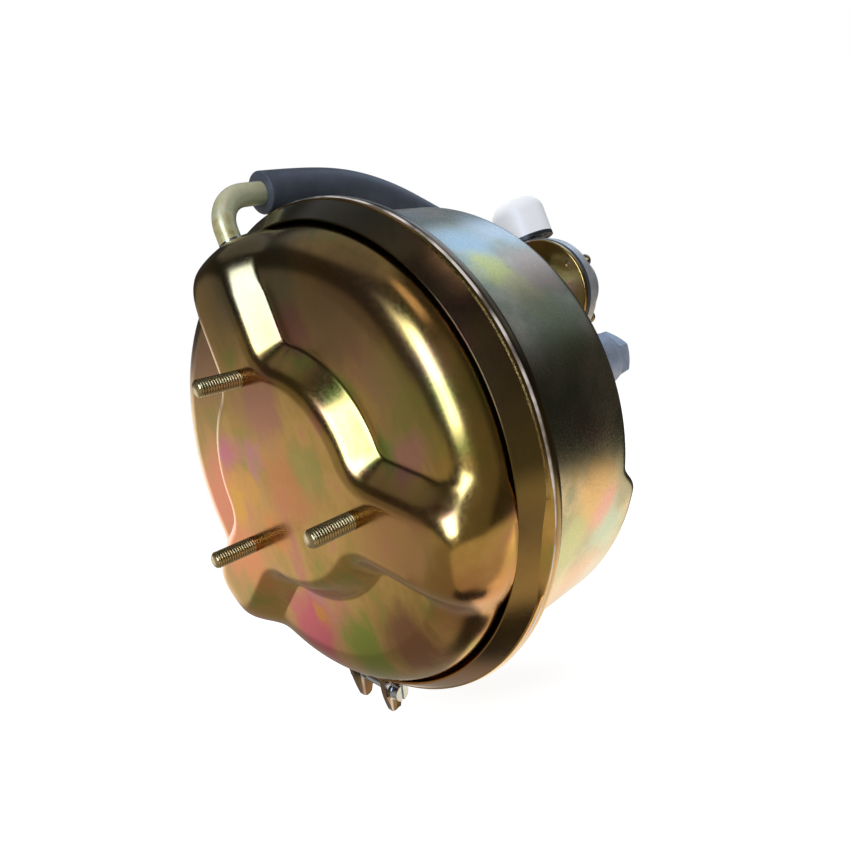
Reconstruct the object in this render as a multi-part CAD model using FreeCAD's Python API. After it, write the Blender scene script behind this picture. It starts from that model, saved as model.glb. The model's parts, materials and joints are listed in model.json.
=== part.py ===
import FreeCAD
import Part
import math
import os

# Remote vacuum brake booster. Origin: centre of the three-lobed mounting face. +Y runs along the
# booster's axis from the mounting studs to the hydraulic cylinder, +Z points up to the top lobe with
# the elbow pipe. All sizes in millimetres, all angles in degrees from +X towards +Z.

V = FreeCAD.Vector

# Canister: pressed rear cover and front shell
SHEET = 1.6                 # sheet thickness of both pressings
SHELL_R = 110.0             # outside radius of the front shell
COVER_IN = 1.0              # the rear cover is this much smaller in radius
PAD_HEIGHT = 12.0           # the three-lobed pad stands this far proud of the ring-shaped face
SHOULDER_R = 30.0           # large rounding between the face and the side wall
SHOULDER_PROUD = 6.0        # the shoulder's rounding would close this far behind the mounting face
SHOULDER_BLEND = 5.0        # small rounding where the shoulder meets the faces
BOSS_R = 53.5               # round middle of the pad
LOBE_HALF = 19.5            # half the width of one lobe
LOBE_CORNER = 14.0          # inside corner between the lobe and the round middle
PAD_TOP_FILLET = 4.5
PAD_FOOT_FILLET = 6.0
FRONT_Y = 108.5             # front face of the shell
FRONT_CORNER = 12.0         # rounding of the shell's front edge
STEP_RISE = 9.5             # the lower part of the front face is pressed out by this much
STEP_Z = -56.0              # height at which the pressed-out part starts
STEP_RUN = 10.0             # length of the slope up to it
STEP_FILLET = 14.0

# Clamp band round the two flanges
CREST_Y = 40.0              # plane through the middle of the clamp band
CREST_RISE = 9.2            # the band stands this far outside the shell
BAND_T = 1.2                # band thickness
CREST_HALF = 1.8            # half the width of the band's flat crest, inside
FLANK_ANGLE = 53.13         # slope of the band's flanks against the radius
REAR_FLANK = 14.0           # length of the rear flank
FRONT_FLANK = 12.3          # length of the front flank
BEAD_T = 3.0                # diaphragm bead squeezed between the flanges
BAND_GAP = 0.3              # clearance between band and flanges
CLAMP_ANGLE = -111.0        # the band's two ends meet at this angle
BAND_SPLIT = 19.0           # gap between the two ends of the band
EAR_L = 25.0                # ears at the band's ends, out from the crest
EAR_W = 18.0                # width of an ear at its root
EAR_TIP_R = 4.5
EAR_T = 2.5
CLAMP_OUT = 7.5             # the clamp screw runs this far outside the band's crest
CLAMP_SCREW_R = 2.5         # clamp screw, M5
CLAMP_HEAD_R = 4.3
CLAMP_HEAD_H = 4.2
CLAMP_COLLAR_R = 4.8        # collar under the screw's head
CLAMP_COLLAR_H = 2.6
CLAMP_SLOT_W = 1.3
CLAMP_SLOT_DEPTH = 1.6
CLAMP_NUT_R = 4.9
CLAMP_NUT_H = 4.5
CLAMP_SCREW_END = 3.0       # the screw stands this far out of its nut

# Mounting studs and their plate
STUD_R = 4.0                # M8
STUD_SHANK_R = 4.4          # plain shank pressed through the cover and the plate
STUD_PCD = 97.6
STUD_OUT = 22.0             # length outside the mounting face
STUD_CHAMFER = 0.9
STUD_HEAD_R = 8.0
STUD_HEAD_H = 3.5
STUD_HEAD_ROUND = 1.2
STUD_PLATE_T = 3.0
STUD_PLATE_BOSS_R = 34.0
STUD_PLATE_EAR_R = 12.0
STUD_GAP = 0.1              # clearance round a stud in its hole

# Elbow pipe and hose
PIPE_R = 5.55
PIPE_WALL = 1.2
PIPE_Y = 20.0               # where the pipe leaves the top lobe
PIPE_IN = 4.5               # the pipe's end lies this far inside the cover's side
PIPE_RISE = 28.3            # the bend's corner lies this far above the pipe's end
PIPE_BEND_R = 17.0
PIPE_IN_HOSE = 15.0
HOSE_R = 10.25
HOSE_BORE_GAP = 0.1
HOSE_COURSE = [(0, 46, 1.8), (0, 75, 3.8), (0, 103, 2.2), (0, 128, -5.3), (0.6, 149, -17.2),
               (2.5, 169, -31.3), (5.8, 187.5, -48.8)]     # heights above the pipe's bend
HOSE_ARC_SHARE = 0.45       # each bend's tangents take this share of the shorter run

# Power piston: diaphragm, plate, rod and return spring
STROKE = 45.0               # travel of the power piston
RUBBER_T = 1.8
SOFT_GAP = 0.3              # rubber stays this far from its neighbours
PLATE_T = 1.6
PLATE_Y = 22.3              # rear face of the diaphragm plate
FOLD_ROOM = 7.9             # room for the diaphragm's fold between shell and plate
PLATE_RIM = 26.0            # height of the plate's turned-up rim
FOLD_Y = 52.0               # the diaphragm's rolling fold turns here
ROD_R = 5.0
ROD_THREAD_R = 4.0
ROD_REAR_Y = 5.0
ROD_COLLAR_R = 9.0
ROD_COLLAR_H = 4.0
ROD_IN_PISTON = 8.0         # the rod ends this deep in the hydraulic piston
RETAINER_R = 26.0
RETAINER_T = 2.0
ROD_NUT_R = 7.5
ROD_NUT_H = 8.0
SPRING_R = 25.5             # mean radius of the return spring
SPRING_WIRE = 4.0
SPRING_TURNS = 5.0

# Hydraulic slave cylinder on the front face
GASKET_T = 1.5
FACE_R = 49.0               # gasket and inner reinforcing plate
INNER_PLATE_T = 3.0
NOSE_R = 19.8               # spigot through the shell
NOSE_IN = 6.5               # spigot reaches this far inside the front face
SPIGOT_GAP = 0.2
FLANGE_T = 9.0
FLANGE_EAR_R = 11.0
FLANGE_WEB = 4.0            # the flange's middle reaches this far outside the barrel's foot
FLANGE_BOLT_R = 38.0        # bolt circle radius of the cylinder flange
FLANGE_BOLT_ANGLE = 30.0
BOLT_R = 4.0
BOLT_HEAD_R = 7.0
BOLT_HEAD_H = 4.5
NUT_R = 7.3                 # M8 nut across corners, halved
NUT_H = 6.5
BOLT_END = 3.0              # the bolts stand this far out of their nuts
BARREL_R = 19.0
BARREL_FOOT_R = 23.0
BARREL_FOOT_H = 10.0        # height of the barrel's wide foot over the flange
BARREL_CONE_H = 14.0        # height of the cone above it
BARREL_ROUND = 6.0
BARREL_EDGE = 1.5
BARREL_END_Y = 277.0
BORE_R = 11.15
BORE_REAR_Y = 120.5
GLAND_R = 15.0              # seat of the rod seal and bearing
RUN_GAP = 0.06              # running fit of pistons and rod
BEARING_H = 6.0
SEAL_H = 5.5
SEAL_FLOOR = 2.0
GLAND_ROOM = 3.0            # the gland ends this far behind the bore
CIRCLIP_T = 1.5
CIRCLIP_IN = 1.0            # its groove starts this far inside the spigot's end
CIRCLIP_BITE = 1.0          # depth of the groove
CIRCLIP_W = 3.1
CIRCLIP_OPEN = 8.0
CIRCLIP_GAP = 0.1
PISTON_Y = 125.0
PISTON_L = 22.0
CUP_H = 5.0
CUP_DEPTH = 3.5             # depth of the cup's groove in the piston
CUP_LAND = 4.0              # land between the groove and the piston's front
PLUG_HEX_R = 18.4
PLUG_HEX_H = 13.0
PLUG_TURN = 12.0            # angle of the hexagon's first corner
PLUG_CONE_H = 3.5           # chamfer on the hexagon's corners
PLUG_FACE_IN = 4.5
PLUG_THREAD_R = 13.0
PLUG_THREAD_L = 15.0        # depth of the plug's thread in the barrel
PLUG_PILOT = 2.0            # the plug ends this far short of the bore's shoulder
WASHER_T = 1.5
PORT_R = 4.5                # hydraulic ports, M10 x 1 threads
PORT_DEPTH = 12.0
PORT_BOSS_R = 8.0
INLET_OUT = 4.0             # the inlet's boss stands this far out of the valve boss
INLET_BACK = 23.0           # the inlet lies this far behind the valve boss's front face
DRILL_R = 1.5               # drilled passages

# Control valve beside the cylinder
VALVE_X = 34.0
VALVE_Z = 48.5
VALVE_FACE_Y = 185.0        # front face of the valve boss on the cylinder
VALVE_BOSS_R = 16.0
VALVE_BOSS_L = 35.0
VALVE_ARM_IN = 4.0          # the web to the barrel is this much smaller than the boss all round
VALVE_R = 31.6
VALVE_PLATE_T = 2.5
VALVE_PLATE_ROOM = 1.2      # room round the piston in the plate's hole
VALVE_BEAD_T = 3.0
VALVE_SCREW_IN = 4.1        # the screws' circle lies this far inside the valve's edge
VALVE_SCREW_R = 2.0
VALVE_HEAD_R = 3.6
VALVE_HEAD_H = 2.4
VALVE_SCREW_ANGLE = 18.0
VALVE_SCREWS = 5
PLATE_SCREWS = 3            # small screws between the valve plate and its boss
PLATE_SCREW_IN = 4.5        # they stand this far inside the boss's edge
PLATE_SCREW_L = 8.0
PLATE_SCREW_HEAD_R = 3.2
PLATE_SCREW_HEAD_H = 0.8
WEB_T = 1.2                 # web of the small diaphragm
WEB_OUT = 1.6               # the web lies this far in front of the plate
VALVE_FOLD_IN = 8.8         # the small fold starts and ends this far inside the bead
VALVE_FOLD_OUT = 3.8
VALVE_FOLD_H = 1.6
VALVE_BEAD_IN = 0.8         # the bead starts this far outside the lid's chamber
VALVE_PISTON_R = 6.3
VALVE_PISTON_Y = 166.0
VALVE_ROOM = 3.0            # fluid space behind the valve piston
VALVE_DRILL_BACK = 2.0      # the passage from the bore meets that space here
VALVE_CUP_H = 3.0           # height and place of the cup's groove
VALVE_CUP_DEPTH = 2.0
VALVE_NECK_R = 4.0
VALVE_NECK_L = 3.0          # the neck starts this far behind the piston's end
VALVE_OUT = 1.0             # the piston stands this far out of the boss
HUB_R = 10.0
CLIP_W = 2.0                # washer behind the small diaphragm
CLIP_T = 0.8
HUB_STEP = 4.0              # the hub steps in by this much through the small diaphragm
HUB_FLANGE_H = 1.6
HUB_WALL_IN = 3.0           # the hub's tube lies this far inside its flange
HUB_BORE_IN = 5.0
HUB_FLOOR = 2.0
HUB_BACK = 3.6              # the hub's mouth lies this far behind the air seat
LID_RIM = 6.5               # height of the lid's straight rim
LID_SEAT_RISE = 3.0         # heights of the air seat and the screws' heads over the rim
LID_SCREW_RISE = 4.2
LID_NOSE_R = 20.0
LID_NOSE_Y = 222.0
LID_RIM_W = 8.6             # width of the rim outside the lid's chamber
LID_ROUND = 4.0
LID_EDGE = 2.0
LID_BORE_R = 16.0
SEAT_T = 3.0
SEAT_HOLE_R = 6.0
SEAT_LIP_H = 0.8
SEAT_LIP_W = 1.5
POPPET_R = 9.5
POPPET_T = 1.6
POPPET_STEM_R = 4.0
POPPET_GUIDE_R = 3.0
POPPET_GUIDE_L = 4.0
POPPET_NOSE = 2.3           # its vacuum face lies this far behind the air seat
POPPET_NOSE_T = 1.2
POPPET_NOSE_GAP = 0.5
POPPET_ROOM = 10.0          # height of the bore in front of the air seat
SPRING_GAP = 0.2            # ends of the valve's springs stay this far from their seats
VALVE_SPRING_IN = 1.4       # the valve's return spring runs this far inside the hub's flange
VALVE_SPRING_WIRE = 1.0
POPPET_SPRING_R = 5.0
POPPET_SPRING_WIRE = 0.9
SMALL_TURNS = 3.0           # turns of each small spring
FILTER_X = 22.0
FILTER_Y = 211.0
FILTER_R = 16.5
FILTER_TOP_Z = 111.0
FILTER_SEAT_Z = 84.0
FILTER_WALL = 1.8
FILTER_BASE_T = 2.2
CAP_SLOPE = 1.0             # the cap's top falls by this much towards its edge
CAP_ROUND = 9.0
CAP_FLAT_R = 5.5
FILTER_HUB_R = 6.5          # collar inside the filter
FILTER_HUB_H = 5.0
FILTER_BORE_R = 3.2
FILTER_SLOTS = 8            # air holes in the base
FILTER_SLOT_R = 1.4
FILTER_SLOT_IN = 3.5        # they lie this far inside the cap's edge
FILTER_RING_R = 8.0         # inside radius of the felt ring
FILTER_HEAD = 4.0           # air space over the felt
TOWER_R = 9.5               # tower under the filter
TOWER_BORE_R = 3.0
STUB_ROOT_R = 7.0           # root of the hose stub
STUB_BORE_R = 3.5
STUB_IN_HOSE = 13.0
STUB_OUT = 14.0             # length of the bare stub between the lid's elbow and the hose

# Vacuum check valve on the front face
CHECK_ANGLE = 160.0
CHECK_R = 72.0
CHECK_BODY_R = 13.0
CHECK_NECK_R = 8.0
CHECK_NIPPLE_R = 6.0
CHECK_NIPPLE_L = 24.0
CHECK_CHAMBER_L = 15.0      # length of the valve's round chamber
CHECK_WALL = 3.0            # its end walls
CHECK_DISC_T = 2.1
CHECK_BORE_R = 3.9
SMALL_GAP = 0.1             # clearance round the disc, the grommet and the ends of small springs
CHECK_DISC_OVER = 2.6       # the disc overlaps its seat's hole by this much
CHECK_SPRING_OUT = 1.2
CHECK_SPRING_WIRE = 0.8
CHECK_RELIEF = 1.0
CHECK_NECK_OUT = 2.5        # the neck reaches this far past the grommet, inside the shell
GROMMET_R = 12.0
GROMMET_LIP = 2.5

# Bleed screw on the cylinder
BLEED_ANGLE = 125.0
BLEED_BACK = 25.0           # the bleed screw lies this far behind the barrel's end
BLEED_HEX_R = 4.6
BLEED_HEX_H = 4.5
BLEED_BOSS_R = 7.5
BLEED_BOSS_OUT = 5.0        # its boss stands this far out of the barrel
BLEED_SEAT_IN = 4.0         # its hole ends this far inside the barrel's skin
BLEED_SEAT_GAP = 0.4        # its tip stops this far short of the hole's end
BLEED_R = 3.0
BLEED_TIP_R = 1.6
BLEED_NECK_R = 2.6
BLEED_LIP_R = 3.3
BLEED_MOUTH_R = 2.4
BLEED_OUT = 12.0            # length outside the boss
BLEED_BORE_R = 0.9

LOBE_ANGLES = (90.0, -30.0, 210.0)
FLANGE_ANGLES = (FLANGE_BOLT_ANGLE, FLANGE_BOLT_ANGLE + 120.0, FLANGE_BOLT_ANGLE + 240.0)
COIL_STEPS = 12             # straight bars in one turn of a spring
PAST = 1.0                  # cuts and trims run this far past the faces that they open
Y_AXIS = V(0, 1, 0)
Z_AXIS = V(0, 0, 1)

# Worked out from the sizes above
COVER_R = SHELL_R - COVER_IN
CREST_R = SHELL_R + CREST_RISE
PLATE_R = SHELL_R - SHEET - FOLD_ROOM
PIPE_FOOT_Z = COVER_R - PIPE_IN
PIPE_BEND_Z = PIPE_FOOT_Z + PIPE_RISE
HOSE_ROUTE = [(x, y, PIPE_BEND_Z + rise) for x, y, rise in HOSE_COURSE]
DEEP_Y = FRONT_Y + STEP_RISE
STUD_PLATE_Y = SHEET
FLANK_R = math.cos(math.radians(FLANK_ANGLE))
FLANK_Y = math.sin(math.radians(FLANK_ANGLE))
CREST_IN_R = CREST_R - BAND_T
FLANGE_END_R = CREST_IN_R - 2 * BAND_GAP
INNER_FACE_Y = FRONT_Y - SHEET
SPRING_SEAT_Y = INNER_FACE_Y - INNER_PLATE_T
COLLAR_Y = PLATE_Y + PLATE_T
CYL_FACE_Y = FRONT_Y + GASKET_T
FLANGE_TOP_Y = CYL_FACE_Y + FLANGE_T
NOSE_Y = FRONT_Y - NOSE_IN
CIRCLIP_Y = NOSE_Y + CIRCLIP_IN
PLUG_Y = BARREL_END_Y + WASHER_T
BORE_FRONT_Y = BARREL_END_Y - PLUG_THREAD_L
BLEED_Y = BARREL_END_Y - BLEED_BACK
LID_Y = VALVE_FACE_Y + VALVE_PLATE_T + VALVE_BEAD_T
LID_SEAT_Y = LID_Y + LID_RIM + LID_SEAT_RISE
LID_SCREW_Y = LID_Y + LID_RIM + LID_SCREW_RISE
LID_CHAMBER_R = VALVE_R - LID_RIM_W
VALVE_SCREW_RING = VALVE_R - VALVE_SCREW_IN
CHECK_Y = FRONT_Y + GROMMET_LIP + SMALL_GAP


def at(angle, radius, y=0.0, x=0.0, z=0.0):
    """Point at this angle and radius round an axis along Y through (x, z)."""
    a = math.radians(angle)
    return V(x + radius * math.cos(a), y, z + radius * math.sin(a))


def arc_path(points, radii):
    """Open path of straight runs joined by tangent arcs; one radius for each inner point."""
    points = [V(*p) for p in points]
    edges = []
    start = points[0]
    for corner, before, after, radius in zip(points[1:-1], points, points[2:], radii):
        a = (before - corner).normalize()
        b = (after - corner).normalize()
        half = a.getAngle(b) / 2
        tangent = radius / math.tan(half)
        centre = corner + (a + b).normalize() * (radius / math.sin(half))
        middle = centre + (corner - centre).normalize() * radius
        edges.append(Part.LineSegment(start, corner + a * tangent).toShape())
        edges.append(Part.Arc(corner + a * tangent, middle, corner + b * tangent).toShape())
        start = corner + b * tangent
    edges.append(Part.LineSegment(start, points[-1]).toShape())
    return Part.Wire(edges)


def outline(points, place):
    """Closed outline; each point is (u, v) or (u, v, rounding), and place puts it in space."""
    points = [tuple(p) + (0,) * (3 - len(p)) for p in points]
    ends = []
    for i, (u, v, radius) in enumerate(points):
        corner = V(u, v, 0)
        if not radius:
            ends.append((corner, None, corner))
            continue
        a = (V(*points[i - 1][:2], 0) - corner).normalize()
        b = (V(*points[(i + 1) % len(points)][:2], 0) - corner).normalize()
        half = a.getAngle(b) / 2
        tangent = radius / math.tan(half)
        centre = corner + (a + b).normalize() * (radius / math.sin(half))
        middle = centre + (corner - centre).normalize() * radius
        ends.append((corner + a * tangent, middle, corner + b * tangent))
    edges = []
    for i, (first, middle, last) in enumerate(ends):
        if middle is not None:
            edges.append(Part.Arc(place(first), place(middle), place(last)).toShape())
        following = ends[(i + 1) % len(ends)][0]
        if (following - last).Length > 1e-6:
            edges.append(Part.LineSegment(place(last), place(following)).toShape())
    return Part.Wire(edges)


def turned(points, x=0.0, z=0.0):
    """Solid turned about an axis along Y through (x, z); points are (radius, y, rounding)."""
    face = Part.Face(outline(points, lambda p: V(x + p.x, p.y, z)))
    sweep = -360 if face.normalAt(0, 0).z > 0 else 360
    return face.revolve(V(x, 0, z), Y_AXIS, sweep)


def ring(inner, outer, y0, y1, x=0.0, z=0.0):
    """Plain ring or, with an inner radius of 0, a disc."""
    return turned([(inner, y0), (outer, y0), (outer, y1), (inner, y1)], x, z)


def rod(radius, start, end):
    """Round bar from one point to another."""
    start = V(*start)
    line = V(*end) - start
    return Part.makeCylinder(radius, line.Length, start, line)


def hexagon(corner_r, y0, y1, x=0.0, z=0.0, turn=0.0):
    """Hexagonal prism along Y."""
    points = [at(60 * k + turn, corner_r, y0, x, z) for k in range(7)]
    return Part.Face(Part.makePolygon(points)).extrude(V(0, y1 - y0, 0))


def tube_along(path, outer, inner, start, direction):
    """Tube swept along a path; the start point and direction place its section."""
    bodies = []
    for radius in (outer, inner):
        section = Part.Wire([Part.makeCircle(radius, start, direction)])
        bodies.append(path.makePipeShell([section], True, False))
    return bodies[0].cut(bodies[1])


def coil(mean_r, wire, y0, y1, turns, x=0.0, z=0.0):
    """Compression spring along Y between two seats: short straight bars along one even helix."""
    first = y0 + wire / 2
    rise = y1 - y0 - wire
    count = round(turns * COIL_STEPS)
    points = [at(360.0 * turns * k / count, mean_r, first + rise * k / count, x, z)
              for k in range(count + 1)]
    path = Part.makePolygon(points)
    section = Part.Wire([Part.makeCircle(wire / 2, points[0], points[1] - points[0])])
    return path.makePipeShell([section], True, False, 1)


def star(half, boss, corner, reach, y):
    """Three-lobed outline: a circle with three straight-sided lobes out to the reach."""
    spread = math.asin((half + corner) / (boss + corner))
    foot = (boss + corner) * math.cos(spread)
    edges = []
    for angle in LOBE_ANGLES:
        a = math.radians(angle)
        out = V(math.cos(a), 0, math.sin(a))
        side = V(-math.sin(a), 0, math.cos(a))
        base = V(0, y, 0)
        left = base + out * foot + side * half
        right = base + out * foot - side * half
        far_left = base + out * reach + side * half
        far_right = base + out * reach - side * half
        from_boss = at(angle + math.degrees(spread), boss, y)
        to_boss = at(angle - math.degrees(spread), boss, y)
        next_start = at(angle - 120 + math.degrees(spread), boss, y)
        edges.append(corner_arc(from_boss, left, left + side * corner, corner))
        edges.append(Part.LineSegment(left, far_left).toShape())
        edges.append(Part.LineSegment(far_left, far_right).toShape())
        edges.append(Part.LineSegment(far_right, right).toShape())
        edges.append(corner_arc(right, to_boss, right - side * corner, corner))
        edges.append(Part.Arc(to_boss, at(angle - 60, boss, y), next_start).toShape())
    return Part.Wire(edges)


def corner_arc(start, end, centre, radius):
    """Short arc from start to end round a centre."""
    middle = centre + ((start + end) * 0.5 - centre).normalize() * radius
    return Part.Arc(start, middle, end).toShape()


def lies_at(edge, y):
    return abs(edge.BoundBox.YMin - y) < 1e-4 and abs(edge.BoundBox.YMax - y) < 1e-4


def on_shoulder(edge, radius, centre_r, centre_y):
    """True for an edge that lies on the shoulder's rounding, short of the side wall."""
    for share in (0.1, 0.5, 0.9):
        p = edge.valueAt(edge.FirstParameter + share * (edge.LastParameter - edge.FirstParameter))
        off = math.hypot(math.hypot(p.x, p.z) - centre_r, p.y - centre_y)
        if abs(off - radius) > 1e-3 or p.y > centre_y - 0.5:
            return False
    return True


def cover_form(inset):
    """Full form of the rear cover, or of its hollow when inset by the sheet thickness."""
    radius = COVER_R - inset
    face_y = PAD_HEIGHT + inset
    reach = COVER_R + SHOULDER_R
    depth = CREST_Y - BEAD_T / 2 - face_y
    slab = Part.makeCylinder(reach + LOBE_HALF, depth, V(0, face_y, 0), Y_AXIS)
    pad_wire = star(LOBE_HALF - inset, BOSS_R - inset, LOBE_CORNER + inset, reach, inset)
    pad = Part.Face(pad_wire).extrude(V(0, PAD_HEIGHT + PAST, 0))
    form = slab.fuse(pad).removeSplitter()
    foot = [e for e in form.Edges if lies_at(e, face_y) and e.BoundBox.DiagonalLength < 2 * reach
            and not e.Curve.TypeId == "Part::GeomCircle"]
    foot += [e for e in form.Edges if lies_at(e, face_y) and e.Curve.TypeId == "Part::GeomCircle"
             and e.Curve.Radius < COVER_R]
    foot = [e for e in foot if not is_lobe_end(e, reach)]
    form = form.makeFillet(PAD_FOOT_FILLET + inset, foot)
    tops = [e for e in form.Edges if lies_at(e, inset) and not is_lobe_end(e, reach)]
    form = form.makeFillet(PAD_TOP_FILLET - inset, tops)
    shoulder = SHOULDER_R - inset
    envelope = turned([(0, -SHOULDER_PROUD), (radius, -SHOULDER_PROUD, shoulder),
                       (radius, face_y + depth), (0, face_y + depth)])
    form = form.common(envelope).removeSplitter()
    centre_y = shoulder - SHOULDER_PROUD
    edges = [e for e in form.Edges if on_shoulder(e, shoulder, radius - shoulder, centre_y)]
    return form.makeFillet(SHOULDER_BLEND - inset, edges)


def is_lobe_end(edge, reach):
    """True for the straight outer end of a lobe, which the shoulder trims away."""
    middle = edge.valueAt((edge.FirstParameter + edge.LastParameter) / 2)
    return math.hypot(middle.x, middle.z) > reach - 1 and edge.Curve.TypeId == "Part::GeomLine"


def flange(side):
    """Flared rim of the cover (side -1) or the shell (side +1), up to the diaphragm bead."""
    wall_r = COVER_R if side < 0 else SHELL_R
    joint_y = CREST_Y + side * BEAD_T / 2
    top = (CREST_IN_R - BAND_GAP * FLANK_Y, CREST_Y + side * (CREST_HALF - BAND_GAP * FLANK_R))
    low = (top[0] - SHEET * FLANK_Y, top[1] - side * SHEET * FLANK_R)

    def on_line(point, r):
        return point[1] + side * (point[0] - r) / FLANK_R * FLANK_Y

    rim_y = on_line(top, FLANGE_END_R)
    joint_r = low[0] - (joint_y - low[1]) * side * FLANK_R / FLANK_Y
    wall_y = on_line(top, wall_r)
    points = [(wall_r - SHEET, wall_y + side * 2), (wall_r, wall_y + side * 2), (wall_r, wall_y),
              (FLANGE_END_R, rim_y), (FLANGE_END_R, joint_y), (joint_r, joint_y),
              (wall_r - SHEET, on_line(low, wall_r - SHEET))]
    return turned(points)


def rear_cover():
    cover = cover_form(0).cut(cover_form(SHEET))
    wall_y = CREST_Y - (CREST_IN_R - COVER_R) / FLANK_R * FLANK_Y - CREST_HALF
    cover = cover.common(Part.makeCylinder(COVER_R + PAST, wall_y + PAST, V(0, -PAST, 0), Y_AXIS))
    cover = cover.fuse(flange(-1)).removeSplitter()
    for angle in LOBE_ANGLES:
        spot = at(angle, STUD_PCD / 2)
        cover = cover.cut(rod(STUD_SHANK_R + STUD_GAP, spot - Y_AXIS * PAST, spot + Y_AXIS * (SHEET + PAST)))
    return cover.cut(rod(PIPE_R, (0, PIPE_Y, PIPE_FOOT_Z - PIPE_R), (0, PIPE_Y, PIPE_BEND_Z)))


def shell_form(inset):
    """Front shell's form: a can whose lower front face is pressed out past a slope."""
    back = CREST_Y + BEAD_T / 2
    front = FRONT_Y - inset
    deep = DEEP_Y - inset
    wide = SHELL_R + PAST
    ease = STEP_FILLET - inset
    sweep = STEP_FILLET + inset
    points = [(-wide, back), (wide, back), (wide, front), (STEP_Z, front, sweep),
              (STEP_Z - STEP_RUN, deep, ease), (-wide, deep)]
    side = outline(points, lambda p: V(-wide, p.y, p.x))
    block = Part.Face(side).extrude(V(2 * wide, 0, 0))
    can = Part.makeCylinder(SHELL_R - inset, deep - back, V(0, back, 0), Y_AXIS)
    form = can.common(block)
    rim = [e for e in form.Edges if e.BoundBox.YMin > front - 1e-3 and on_radius(e, SHELL_R - inset)]
    return form.makeFillet(FRONT_CORNER - inset, rim)


def on_radius(edge, radius):
    """True for an edge that lies on the cylinder of this radius about the booster's axis."""
    for share in (0.0, 0.5, 1.0):
        p = edge.valueAt(edge.FirstParameter + share * (edge.LastParameter - edge.FirstParameter))
        if abs(math.hypot(p.x, p.z) - radius) > 1e-3:
            return False
    return True


def check_spot(y=0.0):
    return at(CHECK_ANGLE, CHECK_R, y)


def front_shell():
    wall_y = CREST_Y + (CREST_IN_R - SHELL_R) / FLANK_R * FLANK_Y + CREST_HALF
    shell = shell_form(0).cut(shell_form(SHEET))
    shell = shell.common(Part.makeCylinder(SHELL_R + PAST, DEEP_Y, V(0, wall_y, 0), Y_AXIS))
    shell = shell.fuse(flange(1)).removeSplitter()
    shell = shell.cut(rod(NOSE_R + SPIGOT_GAP, (0, INNER_FACE_Y - PAST, 0), (0, FRONT_Y + PAST, 0)))
    shell = flange_holes(shell, INNER_FACE_Y, FRONT_Y)
    spot = check_spot(INNER_FACE_Y - PAST)
    return shell.cut(rod(GROMMET_R - GROMMET_LIP, spot, spot + Y_AXIS * (SHEET + 2 * PAST)))


def band_section():
    """Closed section of the clamp band as (radius, y, rounding)."""
    rear = (CREST_IN_R - REAR_FLANK * FLANK_R, CREST_Y - CREST_HALF - REAR_FLANK * FLANK_Y)
    front = (CREST_IN_R - FRONT_FLANK * FLANK_R, CREST_Y + CREST_HALF + FRONT_FLANK * FLANK_Y)
    step_r = BAND_T * FLANK_Y
    step_y = BAND_T * FLANK_R
    crest_half = CREST_HALF + BAND_T * (1 - FLANK_Y) * FLANK_Y / FLANK_R - BAND_T * FLANK_R + step_y
    round_out = 2.0
    round_in = round_out - BAND_T
    return [rear, (CREST_IN_R, CREST_Y - CREST_HALF, round_in), (CREST_IN_R, CREST_Y + CREST_HALF, round_in),
            front, (front[0] + step_r, front[1] + step_y), (CREST_R, CREST_Y + crest_half, round_out),
            (CREST_R, CREST_Y - crest_half, round_out), (rear[0] + step_r, rear[1] - step_y)]


def clamp_place(shape):
    """Turn a piece of the clamp from straight down to where the band's ends meet."""
    shape.rotate(V(0, 0, 0), V(0, -1, 0), CLAMP_ANGLE + 90)
    return shape


def clamp_axis(x0, x1, radius):
    """Round bar along the clamp screw's axis."""
    z = -(CREST_IN_R + CLAMP_OUT)
    return rod(radius, (x0, CREST_Y, z), (x1, CREST_Y, z))


def ear(side):
    """Bent-out end of the band: a tapered tab with the hole for the clamp screw."""
    x0 = side * BAND_SPLIT / 2
    x1 = x0 + side * EAR_T
    root = -(CREST_IN_R - EAR_T)
    tip = -(CREST_IN_R + EAR_L)
    shoulder = -(CREST_IN_R + CLAMP_OUT + CLAMP_SCREW_R)
    half = EAR_W / 2
    points = [(CREST_Y - half, root), (CREST_Y + half, root), (CREST_Y + half, shoulder, EAR_TIP_R),
              (CREST_Y + EAR_TIP_R, tip, EAR_TIP_R - 1), (CREST_Y - EAR_TIP_R, tip, EAR_TIP_R - 1),
              (CREST_Y - half, shoulder, EAR_TIP_R)]
    tab = Part.Face(outline(points, lambda p: V(x0, p.x, p.y))).extrude(V(x1 - x0, 0, 0))
    return tab.cut(clamp_axis(x0 - side * PAST, x1 + side * PAST, CLAMP_SCREW_R + STUD_GAP))


def clamp_band():
    """V-section band round both flanges, split at the ears."""
    band = turned(band_section())
    reach = CREST_R + PAST
    band = band.cut(Part.makeBox(BAND_SPLIT, reach, reach, V(-BAND_SPLIT / 2, CREST_Y - reach / 2, -reach)))
    inside = Part.makeCylinder(CREST_IN_R, EAR_W * 2, V(0, CREST_Y - EAR_W, 0), Y_AXIS)
    for side in (-1, 1):
        band = band.fuse(ear(side).cut(inside))
    return clamp_place(band.removeSplitter())


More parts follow.
